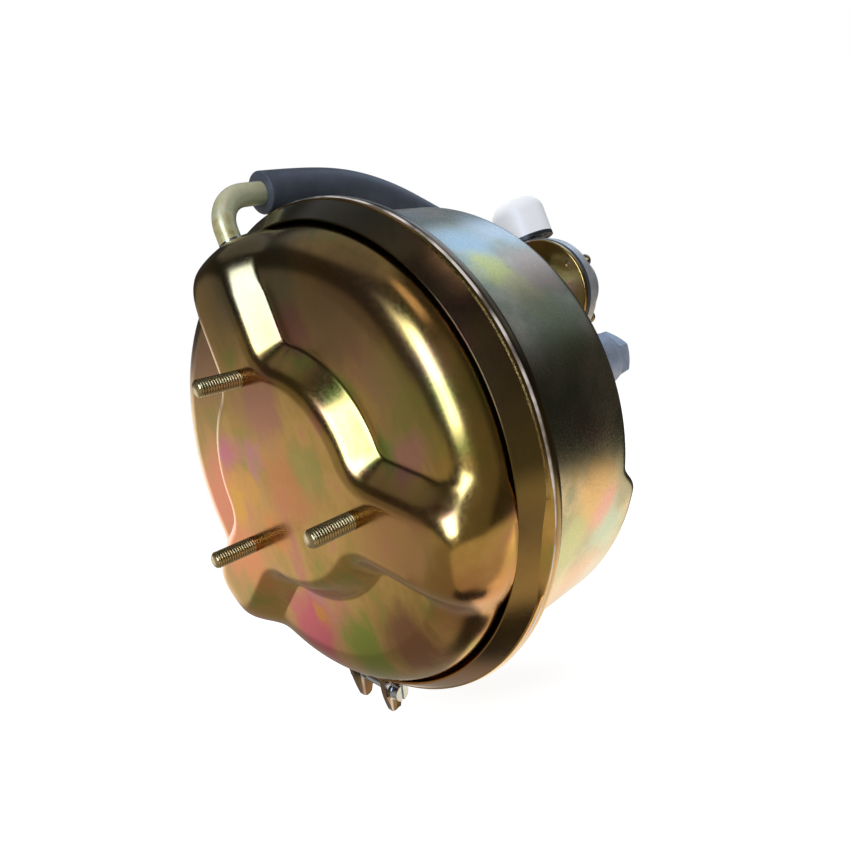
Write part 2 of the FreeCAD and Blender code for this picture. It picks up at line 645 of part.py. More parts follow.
def clamp_screw():
    """Slotted screw with a collar through both ears."""
    face = BAND_SPLIT / 2 + EAR_T
    top = face + CLAMP_COLLAR_H + CLAMP_HEAD_H
    shank = clamp_axis(-(face + CLAMP_NUT_H + CLAMP_SCREW_END), face, CLAMP_SCREW_R)
    collar = clamp_axis(face, face + CLAMP_COLLAR_H, CLAMP_COLLAR_R)
    head = clamp_axis(face + CLAMP_COLLAR_H, top, CLAMP_HEAD_R)
    z = -(CREST_IN_R + CLAMP_OUT)
    slot = Part.makeBox(2 * CLAMP_SLOT_DEPTH, CLAMP_SLOT_W, 4 * CLAMP_HEAD_R,
                        V(top - CLAMP_SLOT_DEPTH, CREST_Y - CLAMP_SLOT_W / 2, z - 2 * CLAMP_HEAD_R))
    return clamp_place(shank.fuse(collar).fuse(head).cut(slot).removeSplitter())


def clamp_nut():
    face = -(BAND_SPLIT / 2 + EAR_T)
    z = -(CREST_IN_R + CLAMP_OUT)
    corners = [V(face, CREST_Y + CLAMP_NUT_R * math.cos(math.radians(60 * k)),
                 z + CLAMP_NUT_R * math.sin(math.radians(60 * k))) for k in range(7)]
    nut = Part.Face(Part.makePolygon(corners)).extrude(V(-CLAMP_NUT_H, 0, 0))
    return clamp_place(nut.cut(clamp_axis(face + PAST, face - CLAMP_NUT_H - PAST, CLAMP_SCREW_R)))


def stud_plate():
    """Three-eared plate welded inside the pad; it carries the mounting studs."""
    plate = ring(0, STUD_PLATE_BOSS_R, STUD_PLATE_Y, STUD_PLATE_Y + STUD_PLATE_T)
    for angle in LOBE_ANGLES:
        spot = at(angle, STUD_PCD / 2, STUD_PLATE_Y)
        arm = Part.makeBox(STUD_PCD / 2, STUD_PLATE_T, 2 * STUD_PLATE_EAR_R,
                           V(0, STUD_PLATE_Y, -STUD_PLATE_EAR_R))
        arm.rotate(V(0, 0, 0), V(0, -1, 0), angle)
        plate = plate.fuse(arm).fuse(rod(STUD_PLATE_EAR_R, spot, spot + Y_AXIS * STUD_PLATE_T))
    plate = plate.removeSplitter()
    for angle in LOBE_ANGLES:
        spot = at(angle, STUD_PCD / 2)
        plate = plate.cut(rod(STUD_SHANK_R + STUD_GAP, spot, spot + Y_AXIS * (SHEET + STUD_PLATE_T + PAST)))
    return plate


def mounting_studs():
    """Three studs; the heads bear on the inside of the stud plate."""
    head_y = STUD_PLATE_Y + STUD_PLATE_T
    studs = []
    for angle in LOBE_ANGLES:
        c = at(angle, STUD_PCD / 2)
        studs.append(turned([(0, -STUD_OUT), (STUD_R - STUD_CHAMFER, -STUD_OUT),
                             (STUD_R, -STUD_OUT + STUD_CHAMFER), (STUD_R, 0), (STUD_SHANK_R, 0),
                             (STUD_SHANK_R, head_y), (STUD_HEAD_R, head_y),
                             (STUD_HEAD_R, head_y + STUD_HEAD_H, STUD_HEAD_ROUND),
                             (0, head_y + STUD_HEAD_H)], c.x, c.z))
    return Part.makeCompound(studs)


def elbow_pipe():
    """Steel pipe out of the top lobe, bent forward into the hose."""
    first = V(*HOSE_ROUTE[0])
    along = (V(*HOSE_ROUTE[1]) - first).normalize()
    end = first + along * PIPE_IN_HOSE
    foot = V(0, PIPE_Y, PIPE_FOOT_Z)
    path = arc_path([foot, V(0, PIPE_Y, PIPE_BEND_Z), end], [PIPE_BEND_R])
    return tube_along(path, PIPE_R, PIPE_R - PIPE_WALL, foot, Z_AXIS)


def vacuum_hose():
    """Thick-walled hose from the elbow pipe to the control valve."""
    points = [V(*p) for p in HOSE_ROUTE]
    radii = []
    for before, corner, after in zip(points, points[1:], points[2:]):
        turn = (corner - before).getAngle(after - corner)
        shorter = min((corner - before).Length, (after - corner).Length)
        radii.append(HOSE_ARC_SHARE * shorter / math.tan(turn / 2))
    print("hose bend radii, mm:", [round(r) for r in radii])
    path = arc_path(points, radii)
    hose = tube_along(path, HOSE_R, PIPE_R + HOSE_BORE_GAP, points[0], points[1] - points[0])
    section = math.pi * (HOSE_R ** 2 - (PIPE_R + HOSE_BORE_GAP) ** 2)
    print("hose length, mm:", round(path.Length, 1), "volume over section x length:",
          round(hose.Volume / (section * path.Length), 4))
    return hose


def main_diaphragm():
    """Rolling diaphragm: bead in the flange joint, one fold, flat web behind the plate."""
    bead_in = SHELL_R - SHEET - SOFT_GAP - 1.0
    out_leg = bead_in - RUBBER_T
    in_leg = PLATE_R + SOFT_GAP + RUBBER_T
    bead_y0 = CREST_Y - BEAD_T / 2
    bead_y1 = CREST_Y + BEAD_T / 2
    web_y1 = PLATE_Y - SOFT_GAP
    web_y0 = web_y1 - RUBBER_T
    fold = (out_leg - in_leg) / 2
    top = FOLD_Y + fold + RUBBER_T
    outer_round = fold + RUBBER_T - 0.01
    inner_round = fold - 0.01
    points = [(ROD_THREAD_R + SOFT_GAP, web_y0), (in_leg, web_y0, 2.5), (in_leg, FOLD_Y + fold, inner_round),
              (out_leg, FOLD_Y + fold, inner_round), (out_leg, bead_y0), (FLANGE_END_R, bead_y0),
              (FLANGE_END_R, bead_y1), (bead_in, bead_y1), (bead_in, top, outer_round),
              (in_leg - RUBBER_T, top, outer_round), (in_leg - RUBBER_T, web_y1),
              (ROD_THREAD_R + SOFT_GAP, web_y1)]
    return turned(points)


def diaphragm_plate():
    """Pressed dish behind which the diaphragm lies."""
    return turned([(ROD_THREAD_R + STUD_GAP, PLATE_Y), (PLATE_R, PLATE_Y, 3.0),
                   (PLATE_R, PLATE_Y + PLATE_RIM),
                   (PLATE_R - PLATE_T, PLATE_Y + PLATE_RIM), (PLATE_R - PLATE_T, PLATE_Y + PLATE_T, 1.4),
                   (SPRING_R + 9, PLATE_Y + PLATE_T, 2.0), (SPRING_R + 6, PLATE_Y + PLATE_T + 3, 2.0),
                   (SPRING_R + 5, PLATE_Y + PLATE_T + 3, 0.5), (SPRING_R + 4.5, PLATE_Y + PLATE_T),
                   (ROD_THREAD_R + STUD_GAP, PLATE_Y + PLATE_T)])


def diaphragm_retainer():
    y1 = PLATE_Y - RUBBER_T - 2 * SOFT_GAP
    return ring(ROD_THREAD_R + STUD_GAP, RETAINER_R, y1 - RETAINER_T, y1)


def rod_nut():
    y1 = PLATE_Y - RUBBER_T - 2 * SOFT_GAP - RETAINER_T
    nut = hexagon(ROD_NUT_R, y1 - ROD_NUT_H, y1)
    return nut.cut(rod(ROD_THREAD_R, (0, y1 - ROD_NUT_H - 1, 0), (0, y1 + 1, 0)))


def push_rod():
    """Rod from the diaphragm plate to the hydraulic piston, with the plate's collar."""
    end = PISTON_Y + ROD_IN_PISTON
    return turned([(0, ROD_REAR_Y), (ROD_THREAD_R, ROD_REAR_Y, 0.8), (ROD_THREAD_R, COLLAR_Y),
                   (ROD_COLLAR_R, COLLAR_Y), (ROD_COLLAR_R, COLLAR_Y + ROD_COLLAR_H, 1.0),
                   (ROD_R, COLLAR_Y + ROD_COLLAR_H), (ROD_R, end, 1.0), (0, end)])


def return_spring():
    return coil(SPRING_R, SPRING_WIRE, COLLAR_Y + 0.2, SPRING_SEAT_Y - 0.2, SPRING_TURNS)


def inner_plate():
    """Reinforcing plate inside the front face, under the cylinder's bolts and the spring."""
    plate = ring(NOSE_R + SPIGOT_GAP, FACE_R, SPRING_SEAT_Y, INNER_FACE_Y)
    return flange_holes(plate, SPRING_SEAT_Y, INNER_FACE_Y)


def flange_plate(y0, y1):
    """Three-eared flange of the cylinder."""
    middle = Part.makeCylinder(BARREL_FOOT_R + FLANGE_WEB, y1 - y0, V(0, y0, 0), Y_AXIS)
    corners = [at(a, FLANGE_BOLT_R) for a in FLANGE_ANGLES]
    lines = []
    for i, spot in enumerate(corners):
        nxt = corners[(i + 1) % 3]
        out = (spot + nxt).normalize() * FLANGE_EAR_R
        lines += [spot + out, nxt + out]
    rim = Part.makePolygon([V(p.x, y0, p.z) for p in lines + lines[:1]])
    hull = Part.Face(rim).extrude(V(0, y1 - y0, 0))
    for spot in corners:
        start = V(spot.x, y0, spot.z)
        hull = hull.fuse(rod(FLANGE_EAR_R, start, start + Y_AXIS * (y1 - y0)))
    return hull.fuse(middle).removeSplitter()


def cylinder_gasket():
    gasket = flange_plate(FRONT_Y, CYL_FACE_Y)
    gasket = gasket.cut(rod(NOSE_R + SPIGOT_GAP, (0, FRONT_Y - PAST, 0), (0, CYL_FACE_Y + PAST, 0)))
    return flange_holes(gasket, FRONT_Y, CYL_FACE_Y)


def flange_holes(body, y0, y1):
    """The three holes for the cylinder's bolts."""
    for angle in FLANGE_ANGLES:
        body = body.cut(rod(BOLT_R + STUD_GAP, at(angle, FLANGE_BOLT_R, y0 - PAST),
                            at(angle, FLANGE_BOLT_R, y1 + PAST)))
    return body


def valve_arm(reach_y0, reach_y1):
    """Cast web that joins the valve boss to the barrel."""
    length = math.hypot(VALVE_X, VALVE_Z)
    half = VALVE_BOSS_R - VALVE_ARM_IN
    arm = Part.makeBox(length, reach_y1 - reach_y0, 2 * half, V(0, reach_y0, -half))
    arm.rotate(V(0, 0, 0), V(0, -1, 0), math.degrees(math.atan2(VALVE_Z, VALVE_X)))
    return arm


def slave_cylinder():
    """Cast cylinder: spigot, three-eared flange, barrel, valve boss and bleed boss."""
    cone_y = FLANGE_TOP_Y + BARREL_FOOT_H
    body = turned([(0, NOSE_Y), (NOSE_R, NOSE_Y), (NOSE_R, CYL_FACE_Y), (BARREL_FOOT_R, CYL_FACE_Y),
                   (BARREL_FOOT_R, cone_y, BARREL_ROUND), (BARREL_R, cone_y + BARREL_CONE_H, BARREL_ROUND),
                   (BARREL_R, BARREL_END_Y, BARREL_EDGE), (0, BARREL_END_Y)])
    body = body.fuse(flange_plate(CYL_FACE_Y, FLANGE_TOP_Y))
    boss_y = VALVE_FACE_Y - VALVE_BOSS_L
    body = body.fuse(ring(0, VALVE_BOSS_R, boss_y, VALVE_FACE_Y, VALVE_X, VALVE_Z))
    body = body.fuse(valve_arm(boss_y + VALVE_ARM_IN, VALVE_FACE_Y - VALVE_ARM_IN))
    bleed_out = at(BLEED_ANGLE, BARREL_R + BLEED_BOSS_OUT, BLEED_Y)
    body = body.fuse(rod(BLEED_BOSS_R, V(0, BLEED_Y, 0), bleed_out)).removeSplitter()
    gland_y = BORE_REAR_Y - GLAND_ROOM
    body = body.cut(turned([(0, NOSE_Y - PAST), (GLAND_R, NOSE_Y - PAST), (GLAND_R, gland_y),
                            (BORE_R, gland_y), (BORE_R, BORE_FRONT_Y),
                            (PLUG_THREAD_R, BORE_FRONT_Y), (PLUG_THREAD_R, BARREL_END_Y + PAST),
                            (0, BARREL_END_Y + PAST)]))
    body = body.cut(ring(0, GLAND_R + CIRCLIP_BITE, CIRCLIP_Y, CIRCLIP_Y + CIRCLIP_T))
    body = flange_holes(body, CYL_FACE_Y, FLANGE_TOP_Y)
    for k in range(PLATE_SCREWS):
        spot = plate_screw_spot(k, VALVE_FACE_Y)
        body = body.cut(rod(VALVE_SCREW_R, spot - Y_AXIS * (PLATE_SCREW_L + PAST), spot + Y_AXIS * PAST))
    inlet, out = inlet_place()
    body = body.fuse(rod(PORT_BOSS_R, inlet - out * VALVE_BOSS_R, inlet)).removeSplitter()
    body = body.cut(rod(PORT_R, inlet - out * PORT_DEPTH, inlet + out * PAST))
    body = body.cut(rod(DRILL_R, inlet - out * (VALVE_BOSS_R + INLET_OUT), inlet))
    body = body.cut(ring(0, VALVE_PISTON_R + RUN_GAP, VALVE_PISTON_Y - VALVE_ROOM, VALVE_FACE_Y + PAST,
                         VALVE_X, VALVE_Z))
    drill_y = VALVE_PISTON_Y - VALVE_DRILL_BACK
    body = body.cut(rod(DRILL_R, V(0, drill_y, 0), V(VALVE_X, drill_y, VALVE_Z)))
    seat = at(BLEED_ANGLE, BARREL_R - BLEED_SEAT_IN, BLEED_Y)
    body = body.cut(rod(DRILL_R, V(0, BLEED_Y, 0), seat))
    return body.cut(rod(BLEED_R, seat, bleed_out + (bleed_out - seat)))


def inlet_place():
    """Mouth and outward direction of the hydraulic inlet on the valve boss."""
    out = V(VALVE_X, 0, VALVE_Z).normalize()
    mouth = V(VALVE_X, VALVE_FACE_Y - INLET_BACK, VALVE_Z) + out * (VALVE_BOSS_R + INLET_OUT)
    return mouth, out


def cylinder_bolts():
    """Three bolts from inside the shell through plate, shell, gasket and flange."""
    bolts = []
    for angle in FLANGE_ANGLES:
        c = at(angle, FLANGE_BOLT_R)
        tip = FLANGE_TOP_Y + NUT_H + BOLT_END
        bolts.append(turned([(0, SPRING_SEAT_Y - BOLT_HEAD_H),
                             (BOLT_HEAD_R, SPRING_SEAT_Y - BOLT_HEAD_H, 1.5),
                             (BOLT_HEAD_R, SPRING_SEAT_Y), (BOLT_R, SPRING_SEAT_Y), (BOLT_R, tip, 0.8),
                             (0, tip)], c.x, c.z))
    return Part.makeCompound(bolts)


def cylinder_nuts():
    nuts = []
    for angle in FLANGE_ANGLES:
        c = at(angle, FLANGE_BOLT_R)
        nut = hexagon(NUT_R, FLANGE_TOP_Y, FLANGE_TOP_Y + NUT_H, c.x, c.z, angle)
        top = FLANGE_TOP_Y + NUT_H + PAST
        nuts.append(nut.cut(rod(BOLT_R, (c.x, FLANGE_TOP_Y - PAST, c.z), (c.x, top, c.z))))
    return Part.makeCompound(nuts)


def gland_circlip():
    """Open wire ring in its groove in the spigot."""
    outer = GLAND_R + CIRCLIP_BITE - CIRCLIP_GAP
    clip = ring(outer - CIRCLIP_W, outer, CIRCLIP_Y + CIRCLIP_GAP, CIRCLIP_Y + CIRCLIP_T - CIRCLIP_GAP)
    opening = V(-CIRCLIP_OPEN / 2, CIRCLIP_Y - PAST, 0)
    return clip.cut(Part.makeBox(CIRCLIP_OPEN, CIRCLIP_T + 2 * PAST, 2 * GLAND_R, opening))


def rod_bearing():
    y0 = CIRCLIP_Y + CIRCLIP_T
    return ring(ROD_R + RUN_GAP, GLAND_R - RUN_GAP, y0, y0 + BEARING_H)


def rod_seal():
    y0 = CIRCLIP_Y + CIRCLIP_T + BEARING_H + SOFT_GAP
    y1 = y0 + SEAL_H
    floor = y0 + SEAL_FLOOR
    return turned([(ROD_R + SOFT_GAP, y0), (GLAND_R - SOFT_GAP, y0), (GLAND_R - SOFT_GAP, y1),
                   (GLAND_R - 2.5, y1), (GLAND_R - 4, floor), (ROD_R + 3, floor), (ROD_R + 1.2, y1),
                   (ROD_R + SOFT_GAP, y1)])


def hydraulic_piston():
    """Piston with a blind hole for the rod and a groove for the cup."""
    y0 = PISTON_Y
    r = BORE_R - RUN_GAP
    end = y0 + PISTON_L
    groove = end - CUP_LAND - CUP_H
    hole_y = y0 + ROD_IN_PISTON
    return turned([(ROD_R + RUN_GAP, y0), (r, y0, 0.6), (r, groove), (r - CUP_DEPTH, groove),
                   (r - CUP_DEPTH, groove + CUP_H), (r, groove + CUP_H), (r, end, 0.6), (0, end),
                   (0, hole_y), (ROD_R + RUN_GAP, hole_y)])


def piston_cup():
    r = BORE_R
    groove = PISTON_Y + PISTON_L - CUP_LAND - CUP_H
    y0 = groove + SOFT_GAP
    y1 = groove + CUP_H - SOFT_GAP
    return turned([(r - 3.2, y0), (r - 0.3, y0), (r - 0.2, y1), (r - 1.2, y1), (r - 1.8, y0 + 1.6),
                   (r - 3.2, y0 + 1.6)])


def end_plug():
    """Hexagonal plug in the cylinder's front end, with the outlet port."""
    end = PLUG_Y + PLUG_HEX_H
    plug = hexagon(PLUG_HEX_R, PLUG_Y, end, 0, 0, PLUG_TURN)
    cone = turned([(0, PLUG_Y - PAST), (PLUG_HEX_R + 0.4, PLUG_Y - PAST),
                   (PLUG_HEX_R + 0.4, end - PLUG_CONE_H),
                   (PLUG_HEX_R - PLUG_FACE_IN, end + 0.5), (0, end + 0.5)])
    plug = plug.common(cone).fuse(ring(0, PLUG_THREAD_R, BORE_FRONT_Y + PLUG_PILOT, PLUG_Y)).removeSplitter()
    plug = plug.cut(rod(PORT_R, (0, end - PORT_DEPTH, 0), (0, end + PAST, 0)))
    return plug.cut(rod(DRILL_R, (0, BORE_FRONT_Y, 0), (0, end, 0)))


def plug_washer():
    return ring(PLUG_THREAD_R + 0.1, PLUG_HEX_R - 2.4, BARREL_END_Y, PLUG_Y)


def bleed_screw():
    """Bleed screw with hexagon and nipple, standing out of its boss."""
    seat = BARREL_R - BLEED_SEAT_IN + BLEED_SEAT_GAP
    face = BARREL_R + BLEED_BOSS_OUT
    tip = face + BLEED_OUT
    screw = turned([(0, seat), (BLEED_TIP_R, seat), (BLEED_R, seat + BLEED_TIP_R), (BLEED_R, face + 1.0),
                    (BLEED_NECK_R, face + BLEED_OUT / 2), (BLEED_NECK_R, tip - 4), (BLEED_LIP_R, tip - 3),
                    (BLEED_LIP_R, tip - 2), (BLEED_MOUTH_R, tip), (0, tip)])
    screw = screw.fuse(hexagon(BLEED_HEX_R, face + 0.5, face + 0.5 + BLEED_HEX_H)).removeSplitter()
    screw = screw.cut(rod(BLEED_BORE_R, (0, face - 3, 0), (0, tip + PAST, 0)))
    screw.rotate(V(0, 0, 0), Z_AXIS, -90)
    screw.rotate(V(0, 0, 0), V(0, -1, 0), BLEED_ANGLE)
    screw.translate(V(0, BLEED_Y, 0))
    return screw


def valve_holes(body, y0, y1, radius):
    for k in range(VALVE_SCREWS):
        angle = VALVE_SCREW_ANGLE + 360.0 / VALVE_SCREWS * k
        spot = at(angle, VALVE_SCREW_RING, y0, VALVE_X, VALVE_Z)
        body = body.cut(rod(radius, spot, spot + Y_AXIS * (y1 - y0)))
    return body


def valve_plate():
    """Round plate that carries the control valve on the cylinder's boss."""
    y0 = VALVE_FACE_Y
    y1 = y0 + VALVE_PLATE_T
    hole = VALVE_PISTON_R + VALVE_PLATE_ROOM
    plate = turned([(hole, y0), (VALVE_R, y0, 1.0), (VALVE_R, y1), (hole, y1)], VALVE_X, VALVE_Z)
    for k in range(PLATE_SCREWS):
        plate = plate.cut(rod(VALVE_SCREW_R + STUD_GAP, plate_screw_spot(k, y0 - PAST),
                              plate_screw_spot(k, y1 + PAST)))
    return valve_holes(plate, y0 - PAST, y1 + PAST, VALVE_SCREW_R + STUD_GAP)


def plate_screw_spot(k, y):
    """Point on the axis of one of the valve plate's own screws."""
    return at(VALVE_SCREW_ANGLE + 360.0 / PLATE_SCREWS * k, VALVE_BOSS_R - PLATE_SCREW_IN, y, VALVE_X,
              VALVE_Z)


def plate_screws():
    """Small screws that hold the valve plate to the boss."""
    tip = VALVE_FACE_Y - PLATE_SCREW_L
    seat = VALVE_FACE_Y + VALVE_PLATE_T
    top = seat + PLATE_SCREW_HEAD_H
    screws = []
    for k in range(PLATE_SCREWS):
        c = plate_screw_spot(k, 0)
        screws.append(turned([(0, tip), (VALVE_SCREW_R, tip, 0.5), (VALVE_SCREW_R, seat),
                              (PLATE_SCREW_HEAD_R, seat),
                              (PLATE_SCREW_HEAD_R, top, PLATE_SCREW_HEAD_H / 2), (0, top)], c.x, c.z))
    return Part.makeCompound(screws)


def valve_diaphragm():
    """Small diaphragm: bead between plate and lid, one shallow fold, hub hole."""
    y0 = VALVE_FACE_Y + VALVE_PLATE_T
    y1 = y0 + VALVE_BEAD_T
    web0 = y0 + WEB_OUT
    web1 = web0 + WEB_T
    hole = HUB_R - HUB_STEP + SOFT_GAP
    bead = LID_CHAMBER_R + VALVE_BEAD_IN
    fold_in = bead - VALVE_FOLD_IN
    fold_out = bead - VALVE_FOLD_OUT
    under = web1 + VALVE_FOLD_H
    over = under + WEB_T
    body = turned([(hole, web0), (fold_in, web0, 1), (fold_in + 1, under, 1), (fold_out - 1, under, 1),
                   (fold_out, web0, 1), (bead, web0), (bead, y0), (VALVE_R, y0), (VALVE_R, y1), (bead, y1),
                   (bead, web1), (fold_out + 1, web1, 1), (fold_out, over, 1), (fold_in, over, 1),
                   (fold_in - 1, web1, 1), (hole, web1)], VALVE_X, VALVE_Z)
    return valve_holes(body, y0 - PAST, y1 + PAST, VALVE_SCREW_R + STUD_GAP)


def valve_lid():
    """Cast lid: rim, sloping dome, boss for the air filter and elbowed hose stub."""
    y0 = LID_Y
    slope_y = y0 + LID_RIM
    nose_y = slope_y + (VALVE_R - LID_NOSE_R)
    lid = turned([(0, y0), (VALVE_R, y0), (VALVE_R, slope_y, LID_EDGE), (LID_NOSE_R, nose_y, LID_ROUND),
                  (LID_NOSE_R, LID_NOSE_Y, LID_ROUND), (0, LID_NOSE_Y)], VALVE_X, VALVE_Z)
    tower = Part.makeCylinder(TOWER_R, FILTER_SEAT_Z - VALVE_Z, V(FILTER_X, FILTER_Y, VALVE_Z), Z_AXIS)
    lid = lid.fuse(tower)
    root, joint, tip = stub_points()
    lid = lid.fuse(rod(STUB_ROOT_R, root, joint)).fuse(Part.makeSphere(STUB_ROOT_R, joint))
    lid = lid.fuse(rod(PIPE_R, joint, tip)).removeSplitter()
    room_y = LID_SEAT_Y + SEAT_T + POPPET_ROOM
    lid = lid.cut(turned([(0, y0 - PAST), (LID_CHAMBER_R, y0 - PAST), (LID_CHAMBER_R, slope_y),
                          (LID_BORE_R, slope_y), (LID_BORE_R, room_y), (0, room_y)], VALVE_X, VALVE_Z))
    lid = lid.cut(rod(TOWER_BORE_R, (FILTER_X, FILTER_Y, VALVE_Z + 6),
                      (FILTER_X, FILTER_Y, FILTER_SEAT_Z + PAST)))
    lid = lid.cut(rod(STUB_BORE_R, joint, tip + (tip - joint) * 0.1))
    lid = lid.cut(rod(TOWER_BORE_R, V(VALVE_X, root.y - 2.5, VALVE_Z), joint))
    lid = valve_holes(lid, y0 - PAST, LID_NOSE_Y + PAST, VALVE_SCREW_R + STUD_GAP)
    return valve_holes(lid, LID_SCREW_Y, LID_NOSE_Y, VALVE_HEAD_R + SPIGOT_GAP)


def stub_points():
    """Root in the lid, elbow point and tip of the stub that the hose is pushed on."""
    end = V(*HOSE_ROUTE[-1])
    along = (V(*HOSE_ROUTE[-2]) - end).normalize()
    joint = end - along * STUB_OUT
    out = V(joint.x - VALVE_X, 0, joint.z - VALVE_Z).normalize()
    root = V(VALVE_X, joint.y, VALVE_Z) + out * (LID_BORE_R + 3)
    return root, joint, end + along * STUB_IN_HOSE


def valve_screws():
    """Five screws from the lid side; their ends show in the plate's holes."""
    head_y = LID_SCREW_Y
    screws = []
    for k in range(VALVE_SCREWS):
        angle = VALVE_SCREW_ANGLE + 360.0 / VALVE_SCREWS * k
        c = at(angle, VALVE_SCREW_RING, 0, VALVE_X, VALVE_Z)
        screws.append(turned([(0, VALVE_FACE_Y + 0.6), (VALVE_SCREW_R, VALVE_FACE_Y + 0.6),
                              (VALVE_SCREW_R, head_y), (VALVE_HEAD_R, head_y),
                              (VALVE_HEAD_R, head_y + VALVE_HEAD_H, VALVE_HEAD_H / 2),
                              (0, head_y + VALVE_HEAD_H)], c.x, c.z))
    return Part.makeCompound(screws)


def valve_piston():
    y1 = VALVE_FACE_Y + VALVE_OUT
    groove = VALVE_PISTON_Y + VALVE_CUP_H
    core = VALVE_PISTON_R - VALVE_CUP_DEPTH
    return turned([(0, VALVE_PISTON_Y), (VALVE_PISTON_R, VALVE_PISTON_Y, 0.6), (VALVE_PISTON_R, groove),
                   (core, groove), (core, groove + VALVE_CUP_H), (VALVE_PISTON_R, groove + VALVE_CUP_H),
                   (VALVE_PISTON_R, y1 - VALVE_NECK_L), (VALVE_NECK_R, y1 - VALVE_NECK_L),
                   (VALVE_NECK_R, y1 + VALVE_PLATE_T), (0, y1 + VALVE_PLATE_T)], VALVE_X, VALVE_Z)


def valve_cup():
    r = VALVE_PISTON_R
    y = VALVE_PISTON_Y + VALVE_CUP_H
    return ring(r - VALVE_CUP_DEPTH + 0.2, r - 0.1, y + SOFT_GAP, y + VALVE_CUP_H - SOFT_GAP, VALVE_X,
                VALVE_Z)


def valve_hub():
    """Hollow hub that carries the small diaphragm and forms the vacuum seat."""
    y0 = VALVE_FACE_Y + VALVE_OUT + VALVE_PLATE_T
    web1 = VALVE_FACE_Y + VALVE_PLATE_T + WEB_OUT + WEB_T
    seat = LID_SEAT_Y - HUB_BACK
    step = HUB_R - HUB_STEP
    wall = HUB_R - HUB_WALL_IN
    bore = HUB_R - HUB_BORE_IN
    return turned([(0, y0), (step, y0), (step, web1 + SOFT_GAP), (HUB_R, web1 + SOFT_GAP),
                   (HUB_R, web1 + HUB_FLANGE_H), (wall, web1 + HUB_FLANGE_H), (wall, seat), (bore, seat),
                   (bore, y0 + HUB_FLOOR), (0, y0 + HUB_FLOOR)], VALVE_X, VALVE_Z)


def hub_clip():
    """Washer that clamps the diaphragm's middle from the piston side."""
    y1 = VALVE_FACE_Y + VALVE_PLATE_T + WEB_OUT - SOFT_GAP
    step = HUB_R - HUB_STEP
    return ring(step + 0.1, step + CLIP_W, y1 - CLIP_T, y1, VALVE_X, VALVE_Z)


def valve_spring():
    """Return spring round the hub, from the air seat to the hub's flange."""
    foot = VALVE_FACE_Y + VALVE_PLATE_T + WEB_OUT + WEB_T + HUB_FLANGE_H + SPRING_GAP
    return coil(HUB_R - VALVE_SPRING_IN, VALVE_SPRING_WIRE, foot, LID_SEAT_Y - SPRING_GAP, SMALL_TURNS,
                VALVE_X, VALVE_Z)


def air_seat():
    """Seat ring pressed into the lid; the air poppet closes on it."""
    y0 = LID_SEAT_Y
    top = y0 + SEAT_T
    return turned([(SEAT_HOLE_R, y0), (LID_BORE_R, y0), (LID_BORE_R, top),
                   (SEAT_HOLE_R + SEAT_LIP_W + 0.5, top),
                   (SEAT_HOLE_R + SEAT_LIP_W, top + SEAT_LIP_H), (SEAT_HOLE_R, top + SEAT_LIP_H)],
                  VALVE_X, VALVE_Z)


def air_poppet():
    """Poppet with an air face beyond the seat and a vacuum face towards the hub."""
    air = LID_SEAT_Y + SEAT_T + SEAT_LIP_H
    nose = LID_SEAT_Y - POPPET_NOSE
    nose_r = SEAT_HOLE_R - POPPET_NOSE_GAP
    return turned([(0, nose), (nose_r, nose), (nose_r, nose + POPPET_NOSE_T),
                   (POPPET_STEM_R, nose + POPPET_NOSE_T), (POPPET_STEM_R, air), (POPPET_R, air),
                   (POPPET_R, air + POPPET_T, 0.6), (POPPET_GUIDE_R, air + POPPET_T),
                   (POPPET_GUIDE_R, air + POPPET_GUIDE_L), (0, air + POPPET_GUIDE_L)], VALVE_X, VALVE_Z)


def poppet_spring():
    back = LID_SEAT_Y + SEAT_T + SEAT_LIP_H + POPPET_T
    roof = LID_SEAT_Y + SEAT_T + POPPET_ROOM
    return coil(POPPET_SPRING_R, POPPET_SPRING_WIRE, back + SMALL_GAP, roof - SMALL_GAP, SMALL_TURNS,
                VALVE_X, VALVE_Z)


def upright(points, x, y):
    """Solid turned about a vertical axis; points are (radius, z, rounding)."""
    face = Part.Face(outline(points, lambda p: V(x + p.x, y, p.y)))
    sweep = 360 if face.normalAt(0, 0).y < 0 else -360
    return face.revolve(V(x, y, 0), Z_AXIS, sweep)


def filter_base():
    """Slotted dish under the filter cap, seated on the lid's tower."""
    z0 = FILTER_SEAT_Z
    z1 = z0 + FILTER_BASE_T
    top = z0 + FILTER_HUB_H
    dish = upright([(FILTER_BORE_R, z0), (FILTER_R, z0), (FILTER_R, z1), (FILTER_HUB_R, z1),
                    (FILTER_HUB_R, top), (FILTER_BORE_R, top)], FILTER_X, FILTER_Y)
    radius = FILTER_R - FILTER_SLOT_IN
    for k in range(FILTER_SLOTS):
        a = math.radians(360.0 * (k + 0.2) / FILTER_SLOTS)
        spot = V(FILTER_X + radius * math.cos(a), FILTER_Y + radius * math.sin(a), z0 - PAST)
        dish = dish.cut(Part.makeCylinder(FILTER_SLOT_R, FILTER_BASE_T + 2 * PAST, spot, Z_AXIS))
    return dish


def air_filter():
    """Felt ring inside the cap."""
    z0 = FILTER_SEAT_Z + FILTER_BASE_T + SOFT_GAP
    z1 = FILTER_TOP_Z - FILTER_WALL - FILTER_HEAD
    out = FILTER_R - FILTER_WALL - SOFT_GAP
    return upright([(FILTER_RING_R, z0), (out, z0), (out, z1 - FILTER_HEAD, 2), (out - FILTER_HEAD, z1),
                    (FILTER_RING_R, z1)], FILTER_X, FILTER_Y)


